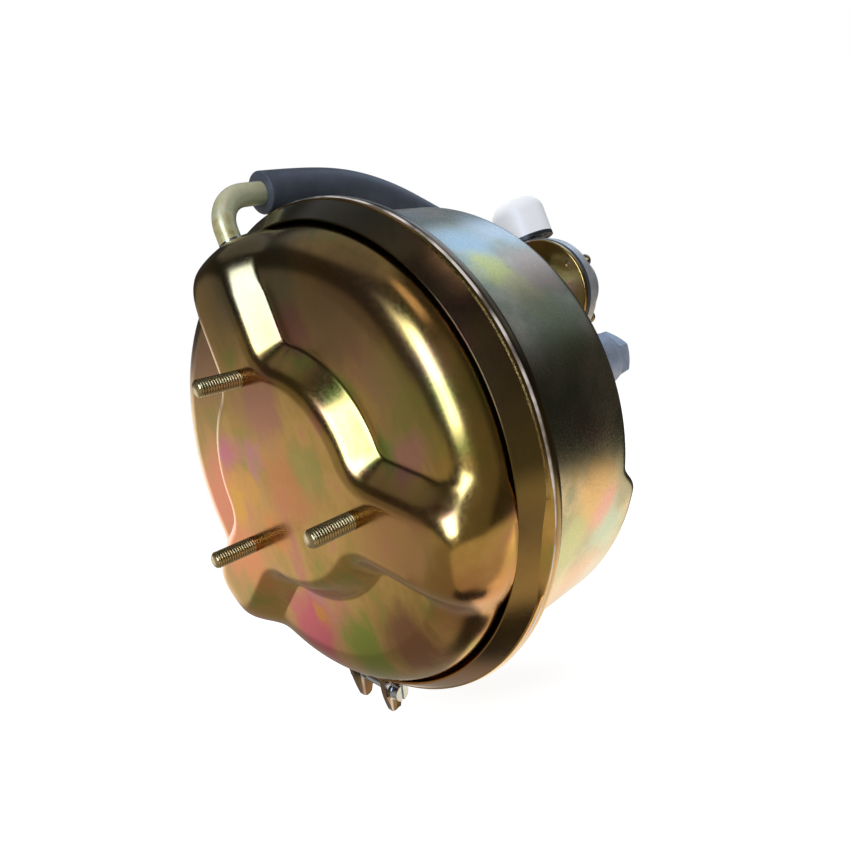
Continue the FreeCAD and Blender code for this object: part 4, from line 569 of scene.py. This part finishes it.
def zinc_on_studs(colours):
    """Rolled threads in the same bath: brassy, with darker and lighter clouds."""
    stops = [(0.3, shade(colours.stud, 0.8)), (0.5, colours.stud), (0.7, "#C9A276")]
    return passivated_zinc("yellow_chromate_threads", stops, 0.24, 9.0, 1.0, 1.2)


def bright_zinc(colours):
    """Clear zinc on small screws: blue-white, nearly a mirror, with faint cloudiness."""
    stops = [(0.3, shade(colours.bright, 0.86)), (0.55, colours.bright), (0.75, "#D9DCD4")]
    return passivated_zinc("clear_zinc_screws", stops, 0.2, 6.0, 1.0, 1.0)


def mottled(name, base, grain, cloud, tones, fine, rough, relief, sockets):
    """A colour with darker and lighter clouds over its own fine grain, and plain values on the shader."""
    material, tree, shader, place = new_material(name)
    clouds = add(tree, "ShaderNodeTexNoise", {"Scale": per_mm(grain * cloud[0]), "Detail": cloud[1],
                                              "Roughness": 0.6}, {"Vector": place})
    tone = add(tree, "ShaderNodeValToRGB", links={"Fac": clouds},
               stops=[(0.3, shade(base, tones[0])), (0.55, base), (0.75, shade(base, tones[1]))])
    tree.links.new(tone.outputs["Color"], shader.inputs["Base Color"])
    speck = add(tree, "ShaderNodeTexNoise", {"Scale": per_mm(grain), "Detail": fine[0], "Roughness": fine[1]},
                {"Vector": place})
    texture_surface(tree, shader, speck, (0.3, 0.7), rough, *relief)
    for socket, value in sockets.items():
        shader.inputs[socket].default_value = value
    return material


def plain_metal(name, base, roughness, grain, bump, metal=1.0):
    """Bare metal with a little dark and light cloudiness; grain is its surface grain in millimetres."""
    return mottled(name, base, grain, (9, 5.0), (0.72, 1.15), (4.0, 0.65),
                   (roughness - 0.06, roughness + 0.1), (bump, 0.15), {"Metallic": metal})


def dull(name, base, roughness, grain, bump, mottle, sheen=0.0):
    """Rubber, plastic, paper or felt: mottled by a share of its colour, over its own fine grain."""
    return mottled(name, base, grain, (14, 4.0), (1 - mottle, 1 + mottle), (5.0, 0.7),
                   (roughness - 0.05, roughness + 0.1), (bump, 0.1), {"Sheen Weight": sheen, "IOR": 1.5})


def make_finish(slot, colours):
    """The material of one of the record's slots, or of the pipe."""
    steel, aluminium, rubber = colours.steel, colours.aluminium, colours.rubber
    makers = {
        "yellow_zinc": lambda: zinc_on_cover(colours),
        "shell_zinc": lambda: zinc_on_shell(colours),
        "band_zinc": lambda: zinc_on_band(colours),
        "stud_zinc": lambda: zinc_on_studs(colours),
        "bright_zinc": lambda: bright_zinc(colours),
        "pipe": lambda: zinc_on_pipe(),
        # Cold-rolled and turned steel under a film of oil: mid grey, satin
        "plain_steel": lambda: plain_metal("oiled_steel", steel, 0.34, 1.2, 0.08),
        # Patented spring wire: darker, blued by heat
        "spring_steel": lambda: plain_metal("spring_wire", shade(steel, 0.7), 0.3, 0.9, 0.06),
        # Sand-cast iron, shot-blasted: mottled blue-grey with a coarse skin
        "cast_grey": lambda: plain_metal("cast_iron_skin", colours.cast, 0.5, 1.4, 0.5, 0.5),
        # Gravity-cast aluminium, blasted: pale and even
        "cast_aluminium": lambda: plain_metal("cast_aluminium_skin", aluminium, 0.42, 0.9, 0.3, 0.75),
        # Turned and anodised aluminium: smooth and pale
        "piston_aluminium": lambda: plain_metal("turned_aluminium", shade(aluminium, 0.9), 0.26, 0.7, 0.05),
        # Extruded black rubber with a dusty bloom: soft blue-grey highlight
        "hose_rubber": lambda: dull("extruded_hose_rubber", rubber, 0.42, 0.7, 0.25, 0.18),
        # Compression-moulded rubber of seals and diaphragms: blacker and more matt
        "soft_rubber": lambda: dull("moulded_rubber", shade(rubber, 0.6), 0.5, 0.6, 0.2, 0.15),
        # Pressed gasket paper: brown-grey and fibrous
        "gasket_paper": lambda: dull("gasket_paper", hex_to_linear("#6B5F4C"), 0.8, 0.8, 0.4, 0.3),
        # Moulded nylon: milky white with a soft gloss
        "white_nylon": lambda: dull("milky_nylon", colours.nylon, 0.35, 1.0, 0.08, 0.04, 0.6),
        # The same filled with carbon: black, slightly glossier than the rubber
        "dark_nylon": lambda: dull("black_nylon", hex_to_linear("#26282B"), 0.38, 0.9, 0.1, 0.15),
        # Wool felt: off-white, furry
        "filter_felt": lambda: dull("wool_felt", hex_to_linear("#C9C2B0"), 0.95, 0.5, 0.8, 0.2, 0.5),
    }
    return makers[slot]()


FINISHES = {}


def finish(slot):
    """A slot's material, made once."""
    if slot not in FINISHES:
        FINISHES[slot] = make_finish(slot, bpy.context.scene.booster_colours)
    return FINISHES[slot]


# Operators: one for each piece or group of like pieces


class BOOSTER_OT_cad_finishes(bpy.types.Operator):
    """Give every CAD node the finish of its material slot"""

    bl_idname = "booster.cad_finishes"
    bl_label = "Finish the CAD pieces"

    def execute(self, context):
        for part in frame["record"]["subparts"]:
            node = frame["nodes"][part["node"]]
            material = finish(part["material_slot"])
            for slot in node.material_slots:
                slot.material = material
        return {"FINISHED"}


class BOOSTER_OT_rear_cover(bpy.types.Operator):
    """Press the rear cover with its three-lobed pad, shoulder and flange"""

    bl_idname = "booster.rear_cover"
    bl_label = "Rear cover"

    def execute(self, context):
        s = context.scene.booster_canister
        joint_y = context.scene.booster_clamp.plane_y - FLANGE_GAP
        angles = turn_angles(540)
        centre_r = s.cover_radius - s.shoulder_radius
        centre_y = s.shoulder_radius - s.shoulder_proud
        # The face is drawn as far as the ring's rounding is this steep, in degrees
        steepest = 78.0
        bends = np.radians(np.linspace(0.0, steepest, 40))
        radii = np.concatenate([[CAP_RADIUS], np.linspace(1.5, s.ring_start, 92)[:-1],
                                s.ring_start + s.ring_round * np.sin(bends)])
        x = radii[:, None] * np.cos(angles)
        z = radii[:, None] * np.sin(angles)
        # How much of each point belongs to the ring face, and how much to the pad with its lobes
        share = slope_drop(lobe_distance(x, z, s), s) / s.pad_height
        soft = share
        for _ in range(36):
            soft = (np.roll(soft, 1, axis=1) + 2 * soft + np.roll(soft, -1, axis=1)) / 4
        # The lobes' sides fade round the rim, over this width
        fade_start, fade_width = 82, 16
        share = share + (soft - share) * np.clip((radii - fade_start) / fade_width, 0, 1)[:, None]
        beyond = np.clip(radii - centre_r, 0, s.shoulder_radius)
        shoulder = centre_y - np.sqrt(s.shoulder_radius ** 2 - beyond ** 2)
        lobe = soft_max(0.0 * radii, np.where(radii < centre_r, -s.shoulder_proud, shoulder), s.shoulder_blend)
        turned_down = np.clip(radii - s.ring_start, 0, s.ring_round)
        ring = s.pad_height + s.ring_round - np.sqrt(s.ring_round ** 2 - turned_down ** 2)
        uneven = wave(x, z, 17.0, 0.05) + wave(z, x, 7.0, 0.012)
        face = around(radii[:, None], lobe[:, None] + (ring - lobe)[:, None] * share + uneven, angles)
        # Side and flange: radius and height under a lobe, then the same under the ring face
        side = s.cover_radius
        foot = s.ring_start + s.ring_round
        rim = s.flange_radius
        rows = []
        for lobe_r, lobe_y, ring_r, ring_y in (
                (side - 0.6, centre_y - 6.5, foot - 0.1, joint_y - 8.2),
                (side, centre_y - 0.5, foot, joint_y - 7.0),
                (side, centre_y + 4.0, foot + 0.6, joint_y - 6.0),
                (side + 0.6, centre_y + 5.2, foot + 1.8, joint_y - 5.2),
                (rim, joint_y - 1.2, rim, joint_y - 1.2),
                (rim, joint_y, rim, joint_y)):
            rows.append(around(lobe_r + (ring_r - lobe_r) * share[-1],
                               lobe_y + (ring_y - lobe_y) * share[-1], angles))
        points, faces = sheet_skin(np.concatenate([face, np.array(rows)]), s.sheet)
        new_piece("rear_cover_skin", points, faces, "yellow_zinc", "rear_cover")
        return {"FINISHED"}


class BOOSTER_OT_front_shell(bpy.types.Operator):
    """Draw the front shell with its rounded, stepped front face"""

    bl_idname = "booster.front_shell"
    bl_label = "Front shell"

    def execute(self, context):
        s = context.scene.booster_canister
        clamp = context.scene.booster_clamp
        angles = turn_angles(480)
        corner_r = s.shell_radius - s.front_corner
        bends = np.radians(np.linspace(0.0, 90.0, 16))
        radii = np.concatenate([[CAP_RADIUS], np.linspace(2.0, corner_r, 60)[:-1],
                                corner_r + s.front_corner * np.sin(bends)])
        x = radii[:, None] * np.cos(angles)
        z = radii[:, None] * np.sin(angles)
        share = np.clip((-z - (s.step_low - s.step_run)) / s.step_run, 0, 1)
        step = s.step_rise * share ** 2 * (3 - 2 * share)
        beyond = np.clip(radii - corner_r, 0, s.front_corner)
        drop = s.front_corner - np.sqrt(np.maximum(s.front_corner ** 2 - beyond ** 2, 0))
        y = s.front_y + step - drop[:, None] + wave(x, z, 23.0, 0.05)
        flare = s.flange_radius - s.shell_radius
        joint_y = clamp.plane_y + FLANGE_GAP
        foot_y = joint_y + flare * math.tan(math.radians(clamp.flank_angle))
        rows = []
        for part in np.linspace(0, 1, 25)[1:]:
            level = y[-1] + (foot_y - y[-1]) * part
            rows.append(around(s.shell_radius + wave(angles * 60, level, 19.0, 0.03), level, angles))
        for part in np.linspace(0, 1, 6)[1:]:
            rows.append(around(s.shell_radius + flare * part, foot_y + (joint_y - foot_y) * part, angles))
        outer = np.concatenate([around(radii[:, None], y, angles), np.array(rows)])
        points, faces = sheet_skin(outer[:, ::-1], s.sheet)
        new_piece("front_shell_skin", points, faces, "shell_zinc", "front_shell")
        return {"FINISHED"}


def band_outline(clamp):
    """Section of the band as (radius, y), with a rounded crest."""
    run = math.cos(math.radians(clamp.flank_angle))
    rise = math.sin(math.radians(clamp.flank_angle))
    t = clamp.thickness
    crest = clamp.crest_radius
    inner = crest - t
    # Half the crest's width inside the sheet, and the roundings of its edges, inside and outside
    inner_half = clamp.crest_half - 0.5
    edge, inside, outside = 0.4, 4.2, 5.6
    corners = []
    for side, length in ((-1, clamp.rear_flank), (1, clamp.front_flank)):
        end_r = inner - length * run
        end_y = clamp.plane_y + side * (inner_half + length * rise)
        flank = [(end_r, end_y, edge), (inner, clamp.plane_y + side * inner_half, inside)]
        back = [(crest, clamp.plane_y + side * clamp.crest_half, outside),
                (end_r + t * rise, end_y + side * t * run, edge)]
        corners.append((flank, back))
    (rear, rear_back), (front, front_back) = corners
    return rounded(rear + front[::-1] + front_back[::-1] + rear_back, 8)


class BOOSTER_OT_clamp_band(bpy.types.Operator):
    """Roll the V-section band and fold its two ears"""

    bl_idname = "booster.clamp_band"
    bl_label = "Clamp band"

    def execute(self, context):
        clamp = context.scene.booster_clamp
        outline = band_outline(clamp)
        count = len(outline)
        sectors = 420
        half_gap = math.degrees(math.asin(clamp.split / 2 / clamp.crest_radius))
        split = -90.0 - clamp.turn
        angles = np.radians(np.linspace(split + half_gap, split + 360 - half_gap, sectors))
        points = around(outline[:, 0], outline[:, 1], angles[:, None]).reshape(-1, 3)
        faces = grid_faces(sectors, count, close_columns=True)
        faces.append(tuple(range(count))[::-1])
        faces.append(tuple((sectors - 1) * count + k for k in range(count)))
        points, faces = joined([(points, faces), self.ear(clamp, -1), self.ear(clamp, 1)])
        new_piece("clamp_band_strip", points, faces, "band_zinc", "clamp_band")
        return {"FINISHED"}

    def ear(self, clamp, side):
        """One folded ear: a tapered tab whose edges are turned back, with a rounded tip."""
        root = clamp.crest_radius - 3.5
        tip = clamp.crest_radius - clamp.thickness + clamp.ear_out
        taper, flare, fold, crown = 0.62, 2.2, 0.9, 1.2
        rows = 18
        columns = 9
        grid = []
        for thickness, turned_edge in ((0.0, 0.0), (clamp.ear_thickness, fold)):
            for share in np.linspace(0, 1, rows):
                width = clamp.ear_width / 2 * (1.0 - taper * share ** 1.6)
                bend = flare * (1 - share) ** 3
                for across in np.linspace(-1, 1, columns):
                    x = clamp.split / 2 + bend + thickness + turned_edge * abs(across) ** 4
                    out = root + (tip - root) * share + crown * (1 - across ** 2) * share ** 6
                    grid.append((side * x, clamp.plane_y + across * width, -out))
        count = rows * columns
        front = grid_faces(rows, columns)
        faces = front + [tuple(count + k for k in face[::-1]) for face in front]
        border = list(range(columns)) + [i * columns + columns - 1 for i in range(1, rows)]
        border += [(rows - 1) * columns + j for j in range(columns - 2, -1, -1)]
        border += [i * columns for i in range(rows - 2, 0, -1)]
        for a, b in zip(border, border[1:] + border[:1]):
            faces.append((b, a, count + a, count + b))
        if side < 0:
            faces = [face[::-1] for face in faces]
        turn = Matrix.Rotation(math.radians(clamp.turn), 3, "Y")
        return np.array(grid) @ np.array(turn).T, faces


class BOOSTER_OT_studs(bpy.types.Operator):
    """Roll the threads of the three mounting studs"""

    bl_idname = "booster.studs"
    bl_label = "Mounting studs"

    def execute(self, context):
        s = context.scene.booster_pipes
        # The thread's core, from the depth of a metric thread
        core = s.stud_radius - 0.61 * s.stud_pitch
        depth = s.stud_radius - core
        # Height over which the tip narrows to a little less than the core
        chamfer, tip_gap = 0.9, 0.1
        per_turn = 10
        count = int(s.stud_length / s.stud_pitch * per_turn)
        segments = 48
        levels = np.linspace(-s.stud_length, 1.0, count)
        angles = turn_angles(segments)
        phase = (levels[:, None] / s.stud_pitch + angles / (2 * math.pi)) % 1.0
        # Straight flanks that a narrow flat crest cuts off at this height, with a flat root between
        crest = 0.92
        tooth = np.clip(1.25 - 2.6 * np.abs(phase - 0.5), 0.0, crest) / crest
        cone = core - tip_gap + (levels + s.stud_length) * depth / chamfer
        radius = np.minimum(s.stud_radius - depth * (1 - tooth), np.maximum(cone, core - tip_gap)[:, None])
        faces = [face[::-1] for face in grid_faces(count, segments, close_columns=True)]
        faces.append(tuple(range(segments)))
        faces.append(tuple((count - 1) * segments + k for k in reversed(range(segments))))
        stud = around(radius, levels[:, None], angles)
        parts = []
        for angle in np.radians(LOBE_ANGLES):
            centre = np.array([math.cos(angle), 0, math.sin(angle)]) * s.stud_circle / 2
            parts.append((stud + centre, faces))
        points, faces = joined(parts)
        new_piece("stud_threads", points, faces, "stud_zinc", "mounting_studs", sharp=60.0)
        return {"FINISHED"}


def pipe_path(s):
    """The elbow pipe's centre line: up, round its bend and into the hose."""
    foot = np.array([0.0, s.pipe_y, s.pipe_foot])
    corner = np.array([0.0, s.pipe_y, s.pipe_corner])
    start = np.array(HOSE_ROUTE[0], float)
    onward = np.array(HOSE_ROUTE[1], float) - start
    end = start + onward / np.linalg.norm(onward) * s.pipe_in_hose
    out = (end - corner) / np.linalg.norm(end - corner)
    bend = fillet(corner, np.array([0.0, 0.0, -1.0]), out, s.pipe_bend, 24)
    path = [foot + (bend[0] - foot) * k / 10 for k in range(10)] + bend
    return np.array(path + [bend[-1] + (end - bend[-1]) * k / 8 for k in range(1, 9)])


class BOOSTER_OT_elbow_pipe(bpy.types.Operator):
    """Bend the elbow pipe and braze it into the top lobe"""

    bl_idname = "booster.elbow_pipe"
    bl_label = "Elbow pipe"

    def execute(self, context):
        s = context.scene.booster_pipes
        path = pipe_path(s)
        wall = 1.2
        section = [(k, s.pipe_radius, 0.0) for k in range(len(path))]
        section += [(k, s.pipe_radius - wall, 0.0) for k in reversed(range(len(path)))]
        points, faces = tube(path, section, 56)
        new_piece("elbow_pipe_tube", points, faces, "yellow_zinc", "elbow_pipe", material=finish("pipe"))
        self.braze(s, context.scene.booster_canister)
        return {"FINISHED"}

    def braze(self, s, cover):
        """Fillet of brazing metal between the pipe and the cover's shoulder, a little uneven."""
        width, height, lumps = 2.6, 3.4, 0.25
        rings, segments = 9, 56
        centre_r = cover.cover_radius - cover.shoulder_radius
        centre_y = cover.shoulder_radius - cover.shoulder_proud
        angles = turn_angles(segments)
        rows = []
        for share in np.linspace(0, 1, rings):
            spread = s.pipe_radius + 0.05 + width * (1 - share) ** 2.2
            spread = spread + lumps * np.sin(5 * angles + 1.0) * (1 - share)
            x = spread * np.cos(angles)
            y = s.pipe_y + spread * np.sin(angles)
            shoulder = centre_r + np.sqrt(np.maximum(cover.shoulder_radius ** 2 - (y - centre_y) ** 2, 0.0))
            foot = np.sqrt(np.maximum(shoulder ** 2 - x ** 2, 0.0)) - 0.3
            rows.append(np.stack([x, y, foot + height * share ** 1.4], axis=1))
        faces = [face[::-1] for face in grid_faces(rings, segments, close_columns=True)]
        new_piece("pipe_brazing", np.array(rows).reshape(-1, 3), faces, "bright_zinc")


class BOOSTER_OT_hose(bpy.types.Operator):
    """Lay the thick-walled vacuum hose along its route"""

    bl_idname = "booster.hose"
    bl_label = "Vacuum hose"

    def execute(self, context):
        s = context.scene.booster_pipes
        curve = bpy.data.curves.new("hose_route", "CURVE")
        curve.dimensions = "3D"
        curve.resolution_u = 12
        spline = curve.splines.new("NURBS")
        spline.points.add(len(HOSE_ROUTE) - 1)
        for point, place in zip(spline.points, HOSE_ROUTE):
            point.co = (*(c * MM for c in place), 1.0)
        spline.order_u = 3
        spline.use_endpoint_u = True
        holder = bpy.data.objects.new("hose_route", curve)
        line = bpy.data.meshes.new_from_object(holder)
        path = np.array([v.co for v in line.vertices]) / MM
        bpy.data.objects.remove(holder)
        last = len(path) - 1
        edge = 0.7
        outside, bore = s.hose_radius, s.hose_bore
        # Round the outer edge of both cut ends, along the outside and back through the bore
        section = [(0, outside - edge, 0.0), (0, outside - edge * 0.3, 0.25), (0, outside, edge)]
        section += [(k, outside, 0.0) for k in range(1, last)]
        section += [(last, outside, -edge), (last, outside - edge, 0.0)]
        section += [(k, bore, 0.0) for k in range(last, -1, -1)]
        points, faces = tube(path, section, 64)
        hose = new_piece("vacuum_hose_rubber", points, faces, "hose_rubber", "vacuum_hose")
        return {"FINISHED"}


class BOOSTER_OT_springs_diaphragms(bpy.types.Operator):
    """Give each spring its own mesh, and put a copy of each diaphragm in the place of its CAD node"""

    bl_idname = "booster.springs_diaphragms"
    bl_label = "Springs and diaphragms"

    def execute(self, context):
        for joint in frame["record"]["behaviour"]["joints"]:
            for soft in joint.get("deforming_nodes", ()):
                node = frame["nodes"][soft["node"]]
                if soft["node"].endswith("spring"):
                    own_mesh(node)
                else:
                    piece = placed(soft["node"] + "_rubber", node.data.copy())
                    piece.matrix_world = node.matrix_world
                    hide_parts(soft["node"])
                    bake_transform(piece)
        return {"FINISHED"}


# Camera, worked out from the ellipses of the band, cover and shell in the photograph
CAMERA_PLACE = (274.1, -161.6, 2.3)
CAMERA_AZIMUTH = 46.92
CAMERA_ELEVATION = 0.27
CAMERA_ROLL = -20.47
CAMERA_LENS = 29.685

# Tent, worked out from what each surface of the object mirrors. Each cloth has its azimuth from +X
# towards +Y and its height, its half width, half height and soft edge, all in degrees, then its
# brightness and its colour.
TENT_BASE = (0.045, 0.04, 0.034)
TENT_CLOTHS = [
    (-150, -40, 75, 28, 12, 0.3, "#FFF2E0"),
    (-10, -54, 70, 25, 10, 0.58, "#FFF0DC"),
    (180, 76, 180, 14, 10, 0.25, "#F4F6FF"),
    (-137, 18, 30, 13, 12, 0.2, "#FFF6EA"),
    (-129, 3, 35, 8, 10, 0.34, "#FFF6EA"),
    (-124, -9, 39, 7, 8, 0.38, "#FFF6EA"),
    (-156, -4, 12, 12, 12, 0.8, "#FFF4E4"),
    (178, 1, 17, 14, 12, 1.4, "#FFF6EC"),
    (-20, 2, 24, 28, 12, 0.15, "#FFF4E0"),
    (-67, 32, 6, 12, 6, 0.8, "#E4F0FF"),
    (-55, 15, 10.5, 21, 7, 9.5, "#C6DCFF"),
    (-12, 51, 10, 9, 6, 1.0, "#FFE6F0"),
    (-54, -16, 12, 9, 10, 0.4, "#FFF6EA"),
    (80, 38, 22, 13, 8, 1.25, "#CFE6FF"),
    (60, 22, 14, 10, 12, 0.42, "#D8EAFF"),
    (122, 30, 16, 14, 12, 0.3, "#E6F2FF"),
    (98, -50, 46, 21, 6, 1.35, "#FFEBCB"),
    (130, -24, 20, 10, 8, 1.1, "#FFF2DC"),
]


class BOOSTER_OT_stage(bpy.types.Operator):
    """Set the white studio: floor, reflector dome, lamps and camera"""

    bl_idname = "booster.stage"
    bl_label = "Stage"

    def execute(self, context):
        context.scene.view_settings.view_transform = "Standard"
        self.world(context)
        self.floor()
        self.dome()
        self.lamps()
        self.camera(context)
        return {"FINISHED"}

    def world(self, context):
        """White behind everything that sees it, and a plain soft level on matt surfaces."""
        world = bpy.data.worlds.new("studio")
        tree = empty_tree(world)
        rays = add(tree, "ShaderNodeLightPath")
        seen = add(tree, "ShaderNodeMath", links={0: rays.outputs["Is Camera Ray"],
                                                  1: rays.outputs["Is Glossy Ray"]}, operation="ADD")
        seen = add(tree, "ShaderNodeMath", links={0: seen, 1: rays.outputs["Is Transmission Ray"]},
                   operation="ADD", use_clamp=True)
        white = add(tree, "ShaderNodeBackground", {"Color": (1, 1, 1, 1), "Strength": 1.0})
        fill = add(tree, "ShaderNodeBackground", {"Color": (0.93, 0.96, 1.0, 1), "Strength": 0.62})
        mix = add(tree, "ShaderNodeMixShader", links={0: seen, 1: fill, 2: white})
        add(tree, "ShaderNodeOutputWorld", links={"Surface": mix})
        context.scene.world = world

    def floor(self):
        """Pale floor under the lowest piece; it stays white to the camera and keeps a faint shadow."""
        low = CAD_BOX[0][2] - 0.5 * MM
        reach = 4.0
        corners = ((-reach, -reach), (reach, -reach), (reach, reach), (-reach, reach))
        mesh = bpy.data.meshes.new("studio_floor")
        mesh.from_pydata([(x, y, low) for x, y in corners], [], [(0, 1, 2, 3)])
        material = bpy.data.materials.new("white_floor")
        tree = empty_tree(material)
        paint = add(tree, "ShaderNodeBsdfDiffuse", {"Color": (0.45, 0.45, 0.45, 1)})
        glow = add(tree, "ShaderNodeEmission", {"Color": (1, 1, 1, 1), "Strength": 0.84})
        both = add(tree, "ShaderNodeAddShader", links={0: paint, 1: glow})
        add(tree, "ShaderNodeOutputMaterial", links={"Surface": both})
        mesh.materials.append(material)
        floor = placed("studio_floor", mesh)
        floor.visible_glossy = False
        floor.visible_diffuse = False

    def dome(self):
        """Tent of bright and dark cloth round the object, seen only in its gloss."""
        radius = 1.6
        rows = 46
        columns = 90
        tilt = np.radians(np.linspace(-89.9, 89.9, rows))[:, None] + np.zeros((1, columns))
        turn = np.radians(np.linspace(-180.0, 180.0, columns, endpoint=False))[None, :] + np.zeros((rows, 1))
        points = np.stack([np.cos(tilt) * np.cos(turn), np.cos(tilt) * np.sin(turn), np.sin(tilt)], axis=2)
        light = np.ones((rows, columns, 4))
        light[..., :3] = TENT_BASE
        for azimuth, height, half_width, half_height, soft, strength, code in TENT_CLOTHS:
            off = np.abs((np.degrees(turn) - azimuth + 180.0) % 360.0 - 180.0)
            weight = 1.0
            for distance, half in ((off, half_width), (np.abs(np.degrees(tilt) - height), half_height)):
                share = np.clip((half + soft / 2 - distance) / soft, 0, 1)
                weight = weight * share ** 2 * (3 - 2 * share)
            cloth = np.array(hex_to_linear(code)) * strength
            light[..., :3] += (cloth - light[..., :3]) * weight[..., None]
        mesh = bpy.data.meshes.new("studio_tent")
        mesh.from_pydata((points.reshape(-1, 3) * radius).tolist(), [],
                         grid_faces(rows, columns, close_columns=True))
        mesh.attributes.new("light", "FLOAT_COLOR", "POINT").data.foreach_set("color", light.ravel())
        material = bpy.data.materials.new("tent_cloth")
        tree = empty_tree(material)
        cloth = add(tree, "ShaderNodeAttribute", attribute_name="light")
        glow = add(tree, "ShaderNodeEmission", {"Strength": 1.0}, {"Color": cloth.outputs["Color"]})
        add(tree, "ShaderNodeOutputMaterial", links={"Surface": glow})
        mesh.materials.append(material)
        dome = placed("studio_tent", mesh)
        dome.visible_camera = False
        dome.visible_diffuse = False
        dome.visible_transmission = False
        dome.visible_shadow = False

    def lamps(self):
        """Two large soft lamps; the white world does the rest."""
        middle = Vector((0, 0.1, 0))
        for name, place, power, width in (("key_lamp", (0.5, -0.9, 0.9), 9.0, 0.8),
                                          ("top_lamp", (-0.6, 0.6, 1.1), 7.0, 0.9)):
            lamp = bpy.data.lights.new(name, "AREA")
            lamp.energy = power
            lamp.size = width
            holder = placed(name, lamp)
            holder.location = place
            holder.rotation_euler = (middle - Vector(place)).to_track_quat("-Z", "Y").to_euler()
            holder.visible_glossy = False

    def camera(self, context):
        """The photograph's viewpoint."""
        azimuth = math.radians(CAMERA_AZIMUTH)
        elevation = math.radians(CAMERA_ELEVATION)
        roll = math.radians(CAMERA_ROLL)
        back = Vector((math.sin(azimuth) * math.cos(elevation),
                       -math.cos(azimuth) * math.cos(elevation), math.sin(elevation)))
        level = Vector((math.cos(azimuth), math.sin(azimuth), 0))
        above = back.cross(level)
        right = level * math.cos(roll) + above * math.sin(roll)
        up = above * math.cos(roll) - level * math.sin(roll)
        lens = bpy.data.cameras.new("camera")
        lens.lens = CAMERA_LENS
        lens.sensor_width = 36.0
        lens.clip_start = 0.01
        lens.clip_end = 20.0
        eye = placed("camera", lens)
        facing = Matrix((right, up, back)).transposed().to_4x4()
        eye.matrix_world = Matrix.Translation(Vector(CAMERA_PLACE) * MM) @ facing
        context.scene.camera = eye


class BOOSTER_PT_panel(bpy.types.Panel):
    """Sidebar panel with every step"""

    bl_idname = "BOOSTER_PT_panel"
    bl_label = "Brake booster"
    bl_space_type = "VIEW_3D"
    bl_region_type = "UI"
    bl_category = "Booster"

    def draw(self, context):
        for operator in OPERATORS:
            self.layout.operator(operator.bl_idname)
        for group in ("booster_canister", "booster_clamp", "booster_pipes", "booster_colours"):
            settings = getattr(context.scene, group)
            column = self.layout.column()
            for name in settings.__annotations__:
                column.prop(settings, name)


GROUPS = {"booster_canister": CanisterSizes, "booster_clamp": ClampSizes, "booster_pipes": PipeSizes,
          "booster_colours": FinishColours}
OPERATORS = (BOOSTER_OT_cad_finishes, BOOSTER_OT_rear_cover, BOOSTER_OT_front_shell,
             BOOSTER_OT_clamp_band, BOOSTER_OT_studs, BOOSTER_OT_elbow_pipe, BOOSTER_OT_hose,
             BOOSTER_OT_springs_diaphragms, BOOSTER_OT_stage)


def register():
    for group in (*GROUPS.values(), *OPERATORS, BOOSTER_PT_panel):
        bpy.utils.register_class(group)
    for name, group in GROUPS.items():
        setattr(bpy.types.Scene, name, PointerProperty(type=group))


def unregister():
    for name in GROUPS:
        delattr(bpy.types.Scene, name)
    for group in reversed((*GROUPS.values(), *OPERATORS, BOOSTER_PT_panel)):
        bpy.utils.unregister_class(group)


def main():
    register()
    for operator in OPERATORS:
        group, name = operator.bl_idname.split(".")
        getattr(getattr(bpy.ops, group), name)()


if __name__ == "__main__":
    main()
